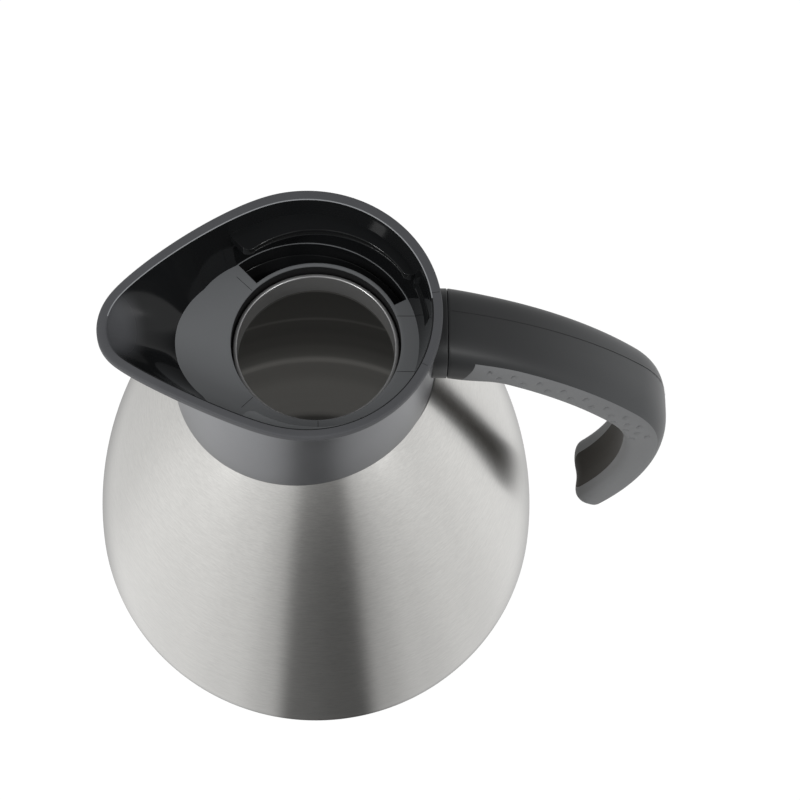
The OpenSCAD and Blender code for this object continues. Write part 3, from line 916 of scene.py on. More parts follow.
@dataclass
class PouringCollar:
    """The moulded collar: rim, bowl, spout trough, shelf, ledges and the slot, in millimetres.

    The face is its width and what it gains on the far side, the bulge is that of the near and the far flank,
    and the ledges are (start, end, inner radius). The relief and the rim's seams are placed in degrees from
    the handle. The hollow holds the powers of the wall's curve along the bowl and at the spout's tip.
    """

    body: SteelBody
    rim_radius: float = 39.4
    rim_shift: float = 2.6
    bowl_depth: float = 21.0
    lip_drop: float = 3.7
    face: Point2 = (3.1, 0.3)
    face_fall: float = 0.42
    bulge: Point2 = (1.0, 0.25)
    band: float = 2.6
    bowl_radius: float = 33.0
    reach: float = 64.3
    tip_radius: float = 15.4
    dip: float = 11.0
    dip_start: float = 9.0
    shelf_reach: float = 41.2
    shelf_end_radius: float = 22.7
    ledge_thickness: float = 3.4
    ledge_depth: float = 7.0
    far_ledge: Sizes = (28.0, 132.0, 30.0)
    near_ledge: Sizes = (-125.0, -38.0, 33.7)
    slot_radius: float = 26.4
    slot_depth: float = 7.0
    relief: Point2 = (2.0, 24.0)
    relief_height: float = 9.0
    relief_depth: float = 0.8
    seams: tuple[tuple[Point2, Point2], ...] = (
        ((24.0, 8.6), (30.3, 8.6)), ((23.6, -9.6), (29.2, -9.6)), ((-23.6, 21.6), (-19.0, 17.0)),
        ((-21.8, -21.2), (-18.4, -17.8)), ((0.6, -25.6), (0.6, -30.0)))
    rim_seams: Point2 = (9.0, -27.0)
    seam_lift: float = 0.012
    seam_width: float = 0.16
    rim_seam_width: float = 0.14
    softness: float = 0.42
    bowl_wall: float = 1.9
    wall: float = 1.3
    trough_end: float = -20.0
    columns: int = 440
    wall_rows: int = 44
    hollow: Point2 = (1.9, 1.7)

    @property
    def shelf_z(self) -> float:
        """Height of the shelf's top."""
        return self.body.neck_top + self.lip_drop

    @property
    def rim_z(self) -> float:
        """Height of the rim's top."""
        return self.shelf_z + self.bowl_depth

    @property
    def hole_radius(self) -> float:
        """Radius of the hole in the shelf."""
        return self.body.neck_outer + self.body.hole_gap

    @property
    def shelf_end_x(self) -> float:
        """Position of the centre of the shelf's rounded end, under the spout."""
        return self.shelf_end_radius - self.shelf_reach

    @property
    def tip_x(self) -> float:
        """Position of the rounded tip's centre."""
        return self.tip_radius - self.reach

    def top_z(self, x: float) -> float:
        """Return the height of the rim's top face at x, which dips in an arc towards the spout."""
        if x > -self.dip_start:
            return self.rim_z
        run = self.reach - self.dip_start
        arc = (run * run + self.dip * self.dip) / (2.0 * self.dip)
        return self.rim_z - arc + math.sqrt(max(arc * arc - (x + self.dip_start) ** 2, 0.0))

    @cached_property
    def outline(self) -> list[tuple[float, float, float]]:
        """Trace the rim from above: the bowl's circle drawn out softly to the rounded tip.

        Returns:
            Evenly spaced points of the outer edge as (x, y, direction of the outward normal in radians).
        """
        a = np.linspace(0.0, FULL_TURN, 36001)
        bowl = self.rim_radius - self.rim_shift * np.cos(a)
        tip = self.tip_radius + self.tip_x * np.cos(a)
        reach = np.logaddexp(bowl * self.softness, tip * self.softness) / self.softness
        near, far = np.maximum(-np.sin(a), 0.0), np.maximum(np.sin(a), 0.0)
        reach += self.bulge[0] * near ** 2 + self.bulge[1] * far ** 2
        slope = np.gradient(reach, a)
        x = reach * np.cos(a) - slope * np.sin(a)
        y = reach * np.sin(a) + slope * np.cos(a)
        run = np.concatenate([[0.0], np.cumsum(np.hypot(np.diff(x), np.diff(y)))])
        at = np.interp(np.linspace(0.0, run[-1], self.columns + 1)[:-1], run, a)
        return [(float(np.interp(t, a, x)), float(np.interp(t, a, y)), float(t)) for t in at]

    @cached_property
    def inner_outline(self) -> np.ndarray:
        """The (x, y) points of the inner edge of the rim's face."""
        inset = self.face[0]
        return np.array([(x - inset * math.cos(a), y - inset * math.sin(a)) for x, y, a in self.outline])

    def shelf_outline(self, grow: float = 0.0) -> np.ndarray:
        """Trace the shelf's edge: the bowl's circle drawn out to the rounded end of the spout.

        Args:
            grow: distance to move the line outwards.

        Returns:
            The outline's (x, y) points.
        """
        end_x = self.shelf_end_x
        lean = math.asin((self.bowl_radius - self.shelf_end_radius) / (-self.rim_shift - end_x))
        turn = math.pi / 2.0 + lean
        big = [(-self.rim_shift, self.bowl_radius + grow, a) for a in np.linspace(-turn, turn, 500)]
        small = [(end_x, self.shelf_end_radius + grow, a) for a in np.linspace(turn, FULL_TURN - turn, 300)]
        return np.array([(x + r * math.cos(a), r * math.sin(a)) for x, r, a in big + small])

    @staticmethod
    def distance(line: np.ndarray, centre: Point2, angle: float) -> float:
        """Return how far an outline lies from centre in a direction.

        Args:
            line: a closed outline round the centre.
            centre: the point to measure from.
            angle: the direction in radians.

        Returns:
            The distance.
        """
        away = line - np.array(centre)
        around = np.arctan2(away[:, 1], away[:, 0])
        order = np.argsort(around)
        return float(np.interp(angle, around[order], np.hypot(*away.T)[order], period=FULL_TURN))

    def build(self) -> None:
        """Build the rim with the bowl, the shelf with its slot, the two ledges, the tube and the seams."""
        self.build_rim()
        self.build_shelf()
        self.build_ledge("far_ledge", self.far_ledge, Finish.GLOSS)
        self.build_ledge("near_ledge", self.near_ledge, Finish.SHELF)
        self.build_tube()
        z = self.shelf_z + self.seam_lift
        for i, (start, end) in enumerate(self.seams):
            seam(f"shelf_seam_{i}", [(*start, z), (*end, z)], self.seam_width)
        for i, a in enumerate(math.radians(v) for v in self.rim_seams):
            line = [(-self.rim_shift + r * math.cos(a), r * math.sin(a), self.rim_z + self.seam_lift)
                    for r in (self.rim_radius - 0.5, self.rim_radius - self.face[0] + 0.4)]
            seam(f"rim_seam_{i}", line, self.rim_seam_width)

    def tipness(self, normal: float) -> float:
        """Return 1 at the middle of the spout's tip and 0 along the flanks."""
        off = abs(math.degrees(normal % FULL_TURN - math.pi))
        return 1.0 - smoothstep(12.0, 58.0, off)

    def rim_section(self, side: float, tip: float) -> list[Point2]:
        """Trace the rim from the underside of its band over the face to the face's inner edge.

        Args:
            side: sideways part of the outward normal, 1 on the far side and -1 on the near one.
            tip: how much the place belongs to the spout's tip, 0 to 1.

        Returns:
            Points as distance inside the outer edge and depth below the face.
        """
        inner, low = self.face[0] + self.face[1] * side, self.band
        under = [(1.9, low), (0.55, low), (0.5, low - 0.05), (0.2, low - 0.1), (0.05, low - 0.2),
                 (0.0, low - 0.45)]
        corner = [(0.0, 0.7), (0.05, 0.4), (0.18, 0.18), (0.4, 0.05), (0.7, 0.0)]
        face = [(1.5, 0.02 * tip), (inner - 0.75, 0.1 * tip), (inner - 0.42, mix(0.01, 0.18, tip)),
                (inner - 0.26, mix(0.04, 0.24, tip)), (inner - 0.12, mix(0.12, 0.31, tip)),
                (inner - 0.04, mix(0.25, 0.37, tip)), (inner, self.face_fall)]
        return under + corner + face

    def build_rim(self) -> None:
        """Build the rim's band and, as one surface with it, the bowl's and the trough's wall."""
        shelf = self.shelf_outline()
        columns = []
        for x, y, a in self.outline:
            tip = self.tipness(a)
            nx, ny = math.cos(a), math.sin(a)
            band = [(x - d * nx, y - d * ny, self.top_z(x - d * nx) - depth)
                    for d, depth in self.rim_section(ny, tip)]
            wall = self.wall_line(Vector(band[-1]), tip, shelf)
            back = Vector((nx * self.wall, ny * self.wall, -0.8 * self.wall))
            outside = [tuple(p + back) for p in wall[:13:-4]]
            within = [tuple(p + Vector((nx, ny, 0.0)) * self.relief_at(p)) for p in wall]
            columns.append(outside + band + within)
        rows, count = len(columns[0]), len(columns)
        points = [column[i] for i in range(rows) for column in columns]
        faces = loop_faces(rows, count)
        face_end = rows - self.wall_rows - 5
        which = []
        for face in faces:
            row, column = divmod(face[0], count)
            # The far half of the face's inner fillet takes the painted edge highlight.
            far_highlight = row in (face_end, face_end + 1) and self.outline[column][1] > 4.0
            which.append(2 if far_highlight else int(row >= face_end))
        finishes = [finish.material for finish in (Finish.RIM, Finish.GLOSS, Finish.EDGE)]
        collar = new_piece("collar_rim", points, faces, finishes, which)
        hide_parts("spout_collar")

    def wall_line(self, start: Vector, tip: float, shelf: np.ndarray) -> list[Vector]:
        """Trace the wall from a point of the rim's inner edge down to the shelf.

        Args:
            start: the point of the inner edge.
            tip: how much the point belongs to the spout's tip, 0 to 1.
            shelf: the shelf's outline.

        Returns:
            The points below start.
        """
        middle = self.shelf_end_x
        angle = math.atan2(start.y, start.x - middle)
        far = self.distance(shelf, (middle, 0.0), angle)
        end = Vector((middle + far * math.cos(angle), far * math.sin(angle), self.shelf_z - 0.25))
        power = mix(self.hollow[0], self.hollow[1], tip)
        line = []
        for i in range(1, self.wall_rows + 1):
            t = math.pi / 2.0 * i / self.wall_rows
            across, down = 1.0 - math.cos(t) ** power, math.sin(t) ** power
            x, y = mix(start.x, end.x, across), mix(start.y, end.y, across)
            line.append(Vector((x, y, mix(start.z, end.z, down))))
        return line

    def floor_z(self, x: float, y: float) -> float:
        """Return the height of the trough's inside over a place, or of the rim where there is no trough."""
        if x > self.trough_end:
            return self.rim_z
        middle = self.shelf_end_x
        angle = math.atan2(y, x - middle)
        low = self.distance(self.shelf_outline(), (middle, 0.0), angle)
        high = self.distance(self.inner_outline, (middle, 0.0), angle)
        top = self.top_z(middle + high * math.cos(angle)) - self.face_fall
        share = (math.hypot(x - middle, y) - low) / (high - low)
        return mix(self.shelf_z, top, min(max(share, 0.0), 1.0))

    def relief_at(self, p: Vector) -> float:
        """Return how far the wall steps back at a point, for the relief next to the handle."""
        angle = math.degrees(math.atan2(p.y, p.x + self.rim_shift))
        high = self.rim_z - self.face[0]
        return (self.relief_depth * between(*self.relief, 0.6, angle)
                * between(high - self.relief_height, high, 0.5, p.z))

    def build_shelf(self) -> None:
        """Build the flat shelf round the hole, with the deep slot under the far ledge."""
        outer, bowl_radius = self.shelf_outline(0.4), self.bowl_radius - 0.3
        around = np.linspace(0.0, FULL_TURN, 720)[:-1]
        bowl = np.column_stack((bowl_radius * np.cos(around) - self.rim_shift, bowl_radius * np.sin(around)))
        hole, axis = self.hole_radius, (0.0, 0.0)
        rounding = [(hole, -0.5), (hole, -0.2), (hole + 0.06, -0.06), (hole + 0.2, 0.0)]
        low, high, _ = self.far_ledge
        angles = sorted({float(a) for a in range(-180, 180)} | {low, high})
        mesh = bmesh.new()
        rays = []
        for a in angles:
            t = math.radians(a)
            end = self.distance(outer, axis, t)
            slot_end = min(self.distance(bowl, axis, t), end - 0.2)
            radii = rounding + [(self.slot_radius, 0.0), (slot_end, 0.0), (end, 0.0)]
            ray = [polar(r, t, self.shelf_z + rise) for r, rise in radii]
            rays.append([mesh.verts.new([v * MM for v in point]) for point in ray])
        slots = []
        for a, here, following in zip(angles, rays, rays[1:] + rays[:1]):
            for j in range(len(here) - 1):
                quad = mesh.faces.new((here[j], here[j + 1], following[j + 1], following[j]))
                if j == len(rounding) and low <= a < high:
                    slots.append(quad)
        self.sink(mesh, slots)
        data = bpy.data.meshes.new("collar_shelf")
        mesh.to_mesh(data)
        mesh.free()
        for finish in (Finish.SHELF, Finish.GLOSS):
            data.materials.append(finish.material)
        shelf = settle("collar_shelf", data, 40)
        edges = shelf.modifiers.new("edges", "BEVEL")
        edges.width, edges.segments, edges.limit_method = 0.25 * MM, 2, "ANGLE"
        edges.angle_limit = math.radians(60)

    def sink(self, mesh: bmesh.types.BMesh, slots: list[bmesh.types.BMFace]) -> None:
        """Sink the slot's faces below the shelf and give its floor the second finish.

        Args:
            mesh: the shelf's mesh.
            slots: the faces that lie over the slot.
        """
        bmesh.ops.recalc_face_normals(mesh, faces=mesh.faces)
        sunk = bmesh.ops.extrude_face_region(mesh, geom=slots)
        moved = [v for v in sunk["geom"] if isinstance(v, bmesh.types.BMVert)]
        bmesh.ops.delete(mesh, geom=slots, context="FACES")
        bmesh.ops.translate(mesh, verts=moved, vec=(0.0, 0.0, -self.slot_depth * MM))
        floor_z = (self.shelf_z - self.slot_depth + 0.1) * MM
        slot_wall = (self.slot_radius - 0.2) * MM
        for face in mesh.faces:
            lowest = min(v.co.z for v in face.verts)
            nearest = min(math.hypot(v.co.x, v.co.y) for v in face.verts)
            face.material_index = int(lowest < floor_z and nearest > slot_wall)

    def build_ledge(self, name: str, span: Sizes, finish: Finish) -> None:
        """Build one bayonet ledge.

        Args:
            name: the piece's name.
            span: its start and end, in degrees from the handle, and its inner radius.
            finish: the ledge's finish.
        """
        top = self.rim_z - self.ledge_depth
        low = top - self.ledge_thickness
        start, end, nose = span
        wall = self.bowl_radius + self.bowl_wall
        soft, corner, steps = 0.45, 2.6, 120
        points: list[Point3] = []
        for i in range(steps + 1):
            angle = mix(start, end, 0.5 - 0.5 * math.cos(math.pi * i / steps))
            t = math.radians(angle)
            near = math.radians(min(angle - start, end - angle)) * nose
            pull = corner - math.sqrt(max(corner ** 2 - (corner - near) ** 2, 0.0)) if near < corner else 0.0
            r_wall = math.sqrt(wall ** 2 - (self.rim_shift * math.sin(t)) ** 2) - self.rim_shift * math.cos(t)
            r_out = max(r_wall + 1.4, nose + 1.2)
            r_in = min(nose + pull, r_out - 1.0)
            section = rounded([(r_out, top, 0), (r_in, top, soft), (r_in, low, soft), (r_out, low, 0)], 4)
            points += [polar(r, t, z) for r, z in section]
        count = len(points) // (steps + 1)
        faces: list[Sequence[int]] = list(loop_faces(steps + 1, count))
        faces += [list(range(count)), list(range(steps * count, steps * count + count))]
        new_piece(name, points, faces, [finish.material], sharp=50)

    def build_tube(self) -> None:
        """Build the collar's tube round the neck, below the shelf."""
        inside, low, top = self.hole_radius + 0.02, self.body.shoulder_z + 3.9, self.shelf_z - 0.3
        line = [(inside, top), (inside, low), (inside + 1.1, low), (inside + 1.1, top)]
        lathe("collar_tube", line, [Finish.SEAM.material], segments=160)


# Shroud


@dataclass
class Shroud:
    """The satin shroud between the rim and the body, in millimetres."""

    body: SteelBody
    collar: PouringCollar
    foot_radius: float = 39.0
    foot_shift: float = 3.7
    undercut: float = 0.5
    wall: float = 1.4
    segments: int = 240
    rows: int = 36

    @property
    def top(self) -> float:
        """Height of the top circle, under the rim's band."""
        return self.collar.rim_z - self.collar.band

    @property
    def low(self) -> float:
        """Height of the foot's circle, inside the steel shoulder."""
        return self.body.above(self.foot_radius + self.foot_shift) - 3.0

    def build(self) -> None:
        """Build the shroud, whose foot follows the steel shoulder all round."""
        fold = [(self.wall, 0.2), (0.55, 0.02), (0.25, 0.08), (0.07, 0.25), (0.0, 0.5)]
        spans = self.rows - len(fold)
        columns = []
        for j in range(self.segments):
            a = FULL_TURN * j / self.segments
            x, y, _ = self.surface(a, self.low)
            foot = self.body.above(min(math.hypot(x, y), self.body.radius)) + 0.15
            x, y, _ = self.surface(a, self.collar.shelf_z)
            end = min(self.top, self.collar.floor_z(x, y) - 1.2) - 0.02
            column = [self.surface(a, foot + up, inward) for inward, up in fold]
            column += [self.surface(a, mix(foot + 0.5, end, (i + 1) / spans)) for i in range(spans)]
            columns.append(column)
        points = [column[i] for i in range(self.rows) for column in columns]
        faces = loop_faces(self.rows, self.segments)
        shroud = new_piece("collar_skirt", points, faces, [Finish.SHROUD.material])
        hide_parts("collar_shroud")

    def surface(self, a: float, z: float, inward: float = 0.0) -> Point3:
        """Return a point of the shroud's surface.

        Args:
            a: direction round the shroud, in radians.
            z: height.
            inward: distance inside the surface.

        Returns:
            The point.
        """
        t = (z - self.low) / (self.top - self.low)
        r = mix(self.foot_radius, self.collar.rim_radius - self.undercut, t) - inward
        shift = mix(self.foot_shift, self.collar.rim_shift, t)
        return (r * math.cos(a) - shift, r * math.sin(a), z)


# Handle


@dataclass
class HookHandle:
    """The hook handle: an arm, a bend and a hooked tail, in millimetres.

    Widths and depths are those at the joint, along the arm and at the tail. Radii and turns, the latter in
    degrees below level, are those of the top's three arcs. The rows of dimples are (first, pitch, number,
    distance from the grip's edge).
    """

    collar: PouringCollar
    root_x: float = 38.4
    root_drop: float = 5.0
    boss_start: float = 34.0
    widths: Sizes = (25.5, 24.5, 22.0)
    depths: Sizes = (20.0, 15.5, 11.0)
    radii: Sizes = (132.0, 38.0, 88.0)
    turns: tuple[float, float, float, float] = (18.0, 50.0, 90.0, 124.0)
    tail_end: float = 5.5
    tail_close: float = 0.85
    dish: float = 2.2
    dish_width: float = 0.86
    dish_power: float = 1.4
    split: float = 0.2
    power: float = 3.0
    root_blend: float = 26.0
    seam_width: float = 0.14
    dimples: tuple[tuple[float, float, int, float], ...] = (
        (15.0, 9.5, 9, 3.0), (20.0, 9.5, 8, 5.3), (72.0, 10.0, 3, 7.7))
    dimple_radius: float = 1.15
    dimple_depth: float = 0.85
    lengths: list[float] = field(default_factory=list)
    corners: list[Point2] = field(default_factory=list)
    rings: dict[float, list[Point2]] = field(default_factory=dict)

    def __post_init__(self) -> None:
        """Work out the lengths and joints of the three arcs."""
        point = (self.root_x, self.collar.rim_z - self.root_drop)
        for r, start, end in zip(self.radii, self.turns, self.turns[1:]):
            self.corners.append(point)
            self.lengths.append(r * math.radians(end - start))
            point = self.arc(point, r, start, end)
        self.corners.append(point)

    @staticmethod
    def arc(point: Point2, r: float, start: float, end: float) -> Point2:
        """Return where an arc from point ends.

        Args:
            point: start in x and z.
            r: radius.
            start: heading below level at the start, in degrees.
            end: heading at the end.

        Returns:
            The end in x and z.
        """
        s, e = math.radians(start), math.radians(end)
        return (point[0] + r * (math.sin(e) - math.sin(s)), point[1] + r * (math.cos(e) - math.cos(s)))

    @property
    def length(self) -> float:
        """Length of the handle along its top."""
        return sum(self.lengths) + self.tail_end

    def line(self, s: float) -> tuple[Point2, float]:
        """Return the top's point and heading at distance s from the joint."""
        done = 0.0
        for k, run in enumerate(self.lengths):
            if s < done + run:
                heading = mix(self.turns[k], self.turns[k + 1], (s - done) / run)
                return self.arc(self.corners[k], self.radii[k], self.turns[k], heading), heading
            done += run
        h = math.radians(self.turns[3])
        x, z = self.corners[3]
        return (x + (s - done) * math.cos(h), z - (s - done) * math.sin(h)), self.turns[3]

    def along(self, s: float, values: Sizes) -> float:
        """Return a size at distance s, easing from the joint to the arm to the tail."""
        root, arm, tail = values
        rest = (s - self.lengths[0]) / (self.length - self.lengths[0])
        return (root + (arm - root) * smoothstep(0.0, self.root_blend, s)
                + (tail - arm) * smoothstep(0.0, 1.0, rest))

    def section(self, s: float, first: float, last: float, count: int) -> list[Point2]:
        """Trace part of the handle's cross-section.

        Args:
            s: distance from the joint.
            first: start angle in degrees; 90 is the middle of the top, 270 the middle of the palm side.
            last: end angle.
            count: points wanted.

        Returns:
            Evenly spaced points (across, depth below the top).
        """
        w, t = self.along(s, self.widths), self.along(s, self.depths)
        dish = self.dish * smoothstep(0.0, 1.0, (s - self.lengths[0]) / self.lengths[1])
        dense = []
        for a in np.radians(np.linspace(first, last, 160)):
            y = signed_power(math.cos(a), 2.0 / self.power) * w / 2.0
            d = t / 2.0 - signed_power(math.sin(a), 2.0 / self.power) * t / 2.0
            hollow = max(1.0 - (2.0 * y / w / self.dish_width) ** 2, 0.0) ** self.dish_power
            dense.append((y, d - dish * hollow if math.sin(a) < 0.0 else d))
        return resampled(dense, count)

    def place(self, s: float, q: Point2, inset: float = 0.0) -> Point3:
        """Carry a section's point to its place in the handle.

        Args:
            s: distance from the joint.
            q: the point across and in depth.
            inset: share by which the section shrinks about its middle.

        Returns:
            The point in space.
        """
        t = self.along(s, self.depths)
        u = (s - self.length + self.tail_end) / self.tail_end
        k = math.sqrt(max(1.0 - self.tail_close * max(u, 0.0) ** 2, 0.0)) * (1.0 - inset)
        depth = t / 2.0 + (q[1] - t / 2.0) * k
        (x, z), heading = self.line(s)
        lean = math.radians(heading * smoothstep(0.0, self.root_blend, s))
        return (x - math.sin(lean) * depth, q[0] * k, z - math.cos(lean) * depth)

    @property
    def split_angle(self) -> float:
        """Angle, in degrees, at which cover and grip meet."""
        return math.degrees(math.asin((1.0 - 2.0 * self.split) ** (self.power / 2.0)))

    def tail_rings(self) -> list[float]:
        """Return the distances of the rings that round off the tail, closer together towards its end."""
        turn = self.length - self.tail_end
        return [turn + self.tail_end * math.sin(math.radians(90.0 * i / 16)) for i in range(1, 17)]

    def build(self) -> None:
        """Build the boss on the shroud, the cover with its cuff, the grip and the seam between them."""
        self.build_boss()
        self.build_cover()
        self.build_grip()

    def build_boss(self) -> None:
        """Build the boss that carries the handle, with its rounded end at the joint."""
        count, half = 96, self.depths[0] / 2.0
        middle = self.collar.rim_z - self.root_drop - half
        end = self.root_x - 0.1
        stations = [(self.boss_start, 0.0), (end - 0.3, 0.0), (end - 0.1, 0.006), (end, 0.015), (end, 0.05)]
        ring = self.section(0.0, 0.0, 360.0, count + 1)[:-1]
        points = [(x, y * (1.0 - inset), middle - (d - half) * (1.0 - inset))
                  for x, inset in stations for y, d in ring]
        faces = loop_faces(len(stations), count)
        new_piece("handle_boss", points, faces, [Finish.COVER.material])

    def build_cover(self) -> None:
        """Build the hard upper moulding, which closes round the root as a cuff."""
        cut = self.split_angle
        over, under, cuff_rows = 56, 72, 12
        joint = [(0.1, 0.05), (0.1, 0.015), (0.2, 0.006), (0.5, 0.0)]
        run = list(np.linspace(1.0, self.length - self.tail_end, 150)) + self.tail_rings()
        stations = joint + [(s, 0.0) for s in run]
        points = [self.place(s, q, inset) for s, inset in stations
                  for q in self.section(s, cut, 180.0 - cut, over)]
        faces = loop_faces(len(stations), over, closed_columns=False)
        base, last = len(points), len(joint) - 1
        for i in range(cuff_rows):
            for j, angle in enumerate(np.linspace(180.0 - cut, 360.0 + cut, under)):
                s, inset = joint[min(i, last)]
                if i > last:
                    s = mix(s, self.cuff(float(angle)), (i - last) / (cuff_rows - last - 1))
                points.append(self.place(s, self.section(s, 180.0 - cut, 360.0 + cut, under)[j], inset))
        faces += [tuple(base + v for v in f) for f in loop_faces(cuff_rows, under, closed_columns=False)]
        cover = new_piece("handle_top", points, faces, [Finish.COVER.material])
        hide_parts("handle_cover")

    def cuff(self, angle: float) -> float:
        """Return how far from the joint the cuff reaches at a section angle on the hand's side."""
        off = abs(angle - 270.0) / 120.0
        return mix(4.0, 9.0, smoothstep(0.35, 1.0, off))

    def build_grip(self) -> None:
        """Build the soft inlay on the hand's side, with a fine groove along its edge."""
        cut, turn = self.split_angle, self.length - self.tail_end
        count, palm_start = 116, 60
        angles = np.linspace(180.0 - cut, 360.0 + cut, count)
        cuff = [self.cuff(float(angle)) for angle in angles]
        rows = [[mix(start, turn, t) for start in cuff] for t in np.linspace(0.0, 1.0, 340)]
        rows += [[s] * count for s in self.tail_rings()]
        points = [self.place(s, self.pitted(s, j, count)) for row in rows for j, s in enumerate(row)]
        faces = loop_faces(len(rows), count, closed_columns=False)
        palm = range(int(count * 0.33), int(count * 0.67))
        which = [int(f[0] % count in palm and f[0] // count > palm_start) for f in faces]
        finishes = [Finish.GRIP.material, Finish.PALM.material]
        grip = new_piece("handle_inlay", points, faces, finishes, which)
        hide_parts("handle_grip")
        line = [self.place(s, (mix(2.6, 5.0, s / 120.0), -0.01)) for s in np.linspace(1.0, 118.0, 90)]
        seam("handle_seam", line, self.seam_width)

    def pitted(self, s: float, j: int, count: int) -> Point2:
        """Return point j of the grip's section at distance s, sunk where a dimple lies.

        Args:
            s: distance from the joint.
            j: the point's number round the section.
            count: points in the section.

        Returns:
            The point across and in depth.
        """
        y, d = self.ring_point(s, j, count)
        step = math.dist(self.ring_point(s, count // 2, count), self.ring_point(s, count // 2 + 1, count))
        off = min(j, count - 1 - j) * step
        sink = 0.0
        for first, pitch, number, row in self.dimples:
            k = min(max(round((s - first) / pitch), 0), number - 1)
            near = math.hypot(s - first - k * pitch, off - row) / self.dimple_radius
            sink = max(sink, self.dimple_depth * (1.0 - smoothstep(0.35, 1.0, near)))
        half = self.along(s, self.depths) / 2.0
        keep = 1.0 - sink / max(math.hypot(y, d - half), 1.0)
        return (y * keep, mix(half, d, keep))

    def ring_point(self, s: float, j: int, count: int) -> Point2:
        """Return point j of the grip's section at distance s, to a tenth of a millimetre."""
        key = round(s, 1)
        if key not in self.rings:
            cut = self.split_angle
            self.rings[key] = self.section(key, 180.0 - cut, 360.0 + cut, count)
        return self.rings[key][j]


# Nodes kept from the part


KEPT_NODES: dict[str, Finish] = {
    "base_plate": Finish.PLATE, "reflector_foil": Finish.FOIL, "getter_pill": Finish.GETTER,
    "vacuum_seal": Finish.SOLDER, "snap_ring": Finish.SPRING, "handle_core": Finish.CORE,
    "handle_screws": Finish.ZINC,
}


def dress_kept_nodes(nodes: dict[str, bpy.types.Object]) -> None:
    """Give the nodes that stay their finishes.

    Args:
        nodes: the part's nodes by name.
    """
    for name, finish in KEPT_NODES.items():
        for slot in nodes[name].material_slots:
            slot.material = finish.material
        LOG.info("%s: kept as %s", name, finish.value.name)


# Studio


@dataclass(frozen=True)
class Lamp:
    """A soft box: a rectangular area lamp aimed at a point, in metres and watts."""

    name: str
    place: Point3
    aim: Point3
    size: Point2
    power: float

    def hang(self) -> None:
        """Add the lamp to the scene."""
        data = bpy.data.lights.new(self.name, "AREA")
        data.shape, data.size, data.size_y, data.energy = "RECTANGLE", self.size[0], self.size[1], self.power
        lamp = bpy.data.objects.new(self.name, data)
        lamp.location = self.place
        lamp.rotation_mode = "QUATERNION"
        lamp.rotation_quaternion = (Vector(self.aim) - Vector(self.place)).to_track_quat("-Z", "Y")
        bpy.context.scene.collection.objects.link(lamp)


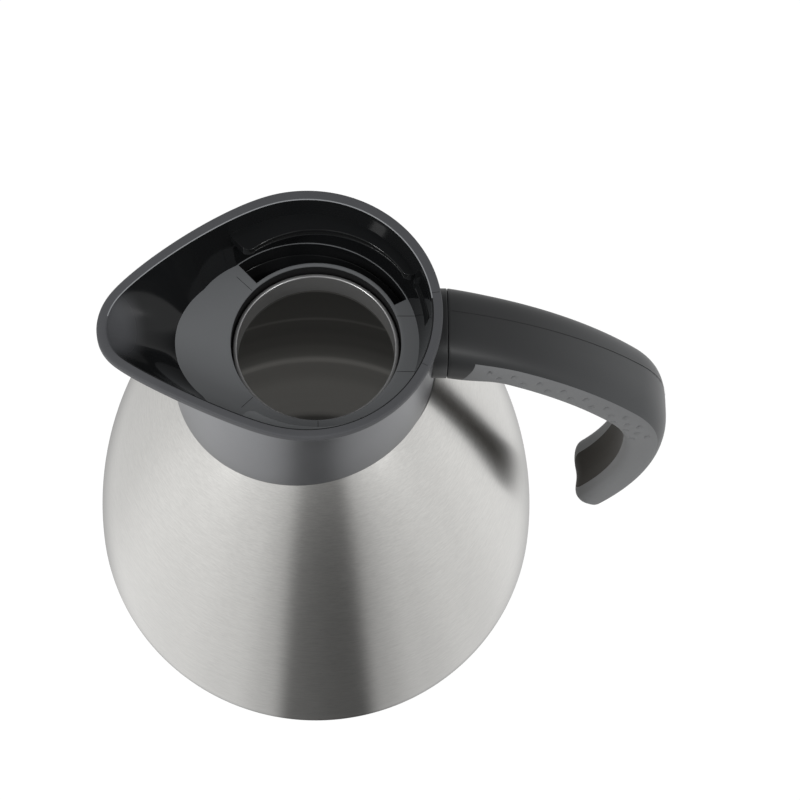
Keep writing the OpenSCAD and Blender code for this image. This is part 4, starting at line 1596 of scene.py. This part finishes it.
@dataclass
class Studio:
    """Floor, white room with a shaded front, soft boxes and the camera, in metres and degrees.

    The shades are (place round the part, brightness), as gloss sees floor and room. Above, the room is dark
    round dark_aim: dark_edge gives where that begins and ends, as cosines of the angle to it.
    """

    camera_place: Point3 = (0.0, -0.437619, 1.074965)
    camera_tilt: float = 24.9
    lens: float = 152.865
    sensor: float = 36.0
    shift: float = 0.105
    lamps: tuple[Lamp, ...] = (
        Lamp("key_box", (-0.85, -0.55, 0.98), (0.0, 0.0, 0.15), (0.18, 0.5), 5.0),
        Lamp("fill_box", (0.73, -0.66, 1.0), (0.0, 0.0, 0.15), (0.14, 0.5), 2.5),
    )
    floor_shade: tuple[Point2, ...] = (
        (0.0, 0.85), (0.15, 0.76), (0.22, 0.84), (0.29, 1.0), (0.36, 0.9), (0.42, 0.77), (0.457, 0.54),
        (0.477, 0.1), (0.542, 0.05), (0.562, 0.42), (0.6, 0.64), (0.66, 0.82), (0.74, 1.0), (0.85, 1.0),
        (1.0, 0.85))
    room_shade: tuple[Point2, ...] = (
        (0.0, 0.85), (0.15, 0.78), (0.22, 0.85), (0.29, 1.0), (0.42, 1.0), (0.445, 0.95), (0.464, 0.84),
        (0.483, 0.36), (0.542, 0.26), (0.558, 0.8), (0.58, 0.95), (0.64, 1.0), (0.74, 1.0), (0.85, 1.0),
        (1.0, 0.85))
    floor_size: float = 8.0
    floor_gap: float = 0.0003
    floor_glow: float = 1.06
    floor_cover: Point2 = (0.93, 0.97)
    dark_aim: Point3 = (0.0, 0.423, 0.906)
    dark_edge: Point2 = (0.93, 0.62)
    dark_level: float = 0.08
    light_level: float = 0.62

    def build(self) -> None:
        """Set the stage, the lamps and the camera."""
        bpy.context.scene.view_settings.view_transform = "Standard"
        self.paint_world()
        self.lay_floor()
        for lamp in self.lamps:
            lamp.hang()
        self.set_camera()

    @staticmethod
    def shade(g: Tree, x: Socket, y: Socket, stops: Sequence[Point2]) -> Socket:
        """Return how bright the room is by the direction round the part, dark in front.

        Args:
            g: the tree to write in.
            x: sideways part of the direction.
            y: forward part of the direction.
            stops: brightnesses from the back by the left, the front and the right to the back.

        Returns:
            The brightness's socket.
        """
        turn = g.math("ARCTAN2", x, g.times(y, -1.0))
        return g.ramp(g.plus(g.math("DIVIDE", turn, FULL_TURN), 0.5), stops)

    def paint_world(self) -> None:
        """Paint the room: white to the camera, shaded to gloss, and an even light for the rest."""
        world = bpy.data.worlds.new("white_room")
        bpy.context.scene.world = world
        world.use_nodes = True
        g = Tree(world.node_tree)
        out, paint = g.node("ShaderNodeOutputWorld"), g.node("ShaderNodeBackground")
        rays, way = g.node("ShaderNodeLightPath"), g.node("ShaderNodeTexCoord").outputs["Generated"]
        x, y, _ = g.parts(way)
        above = g.node("ShaderNodeVectorMath", operation="DOT_PRODUCT")
        g.link(way, above.inputs[0])
        above.inputs[1].default_value = self.dark_aim
        open_sky = g.span(g.step(above.outputs["Value"], *self.dark_edge), self.dark_level, 1.0)
        walls = g.times(self.shade(g, x, y, self.room_shade), open_sky)
        level = g.node("ShaderNodeMix")
        g.link(rays.outputs["Is Glossy Ray"], level.inputs[0])
        level.inputs[2].default_value = self.light_level
        g.link(walls, level.inputs[3])
        seen = g.math("MAXIMUM", rays.outputs["Is Camera Ray"], rays.outputs["Is Transmission Ray"])
        g.link(g.math("MAXIMUM", level.outputs[0], seen), paint.inputs["Strength"])
        g.link(paint.outputs[0], out.inputs["Surface"])

    def lay_floor(self) -> None:
        """Lay the pale floor, bright to the camera with the part's soft shadow kept."""
        mesh = bpy.data.meshes.new("studio_floor")
        half, low = self.floor_size / 2.0, -self.floor_gap
        corners = [(-half, -half, low), (half, -half, low), (half, half, low), (-half, half, low)]
        mesh.from_pydata(corners, [], [(0, 1, 2, 3)])
        floor = bpy.data.objects.new("studio_floor", mesh)
        bpy.context.scene.collection.objects.link(floor)
        g = Graph("floor_paper")
        g.put({"Base Color": (0.9, 0.9, 0.9), "Roughness": 0.9})
        glow, both = g.node("ShaderNodeEmission"), g.node("ShaderNodeMixShader")
        rays = g.node("ShaderNodeLightPath")
        x, y, _ = g.parts(g.place)
        camera, gloss = rays.outputs["Is Camera Ray"], rays.outputs["Is Glossy Ray"]
        shade = g.times(self.shade(g, x, y, self.floor_shade), gloss)
        to_camera, to_gloss = self.floor_cover
        g.link(g.plus(shade, g.times(camera, self.floor_glow)), glow.inputs["Strength"])
        g.link(g.math("MAXIMUM", g.times(camera, to_camera), g.times(gloss, to_gloss)), both.inputs[0])
        g.link(g.shader.outputs["BSDF"], both.inputs[1])
        g.link(glow.outputs[0], both.inputs[2])
        g.link(both.outputs[0], g.output.inputs["Surface"])
        mesh.materials.append(g.material)

    def set_camera(self) -> None:
        """Place the camera at the photograph's viewing angle."""
        data = bpy.data.cameras.new("camera")
        data.lens, data.sensor_width, data.shift_x = self.lens, self.sensor, self.shift
        camera = bpy.data.objects.new("camera", data)
        camera.location = self.camera_place
        camera.rotation_euler = (math.radians(self.camera_tilt), 0.0, 0.0)
        bpy.context.scene.collection.objects.link(camera)
        bpy.context.scene.camera = camera


# Main


def main() -> None:
    """Load the part, build every piece round it and set the studio."""
    logging.basicConfig(level=logging.INFO, format="%(name)s %(message)s")
    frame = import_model()
    body = SteelBody()
    body.build()
    Foot(body).build()
    collar = PouringCollar(body)
    collar.build()
    Shroud(body, collar).build()
    HookHandle(collar).build()
    dress_kept_nodes(frame["nodes"])
    Studio().build()


if __name__ == "__main__":
    main()
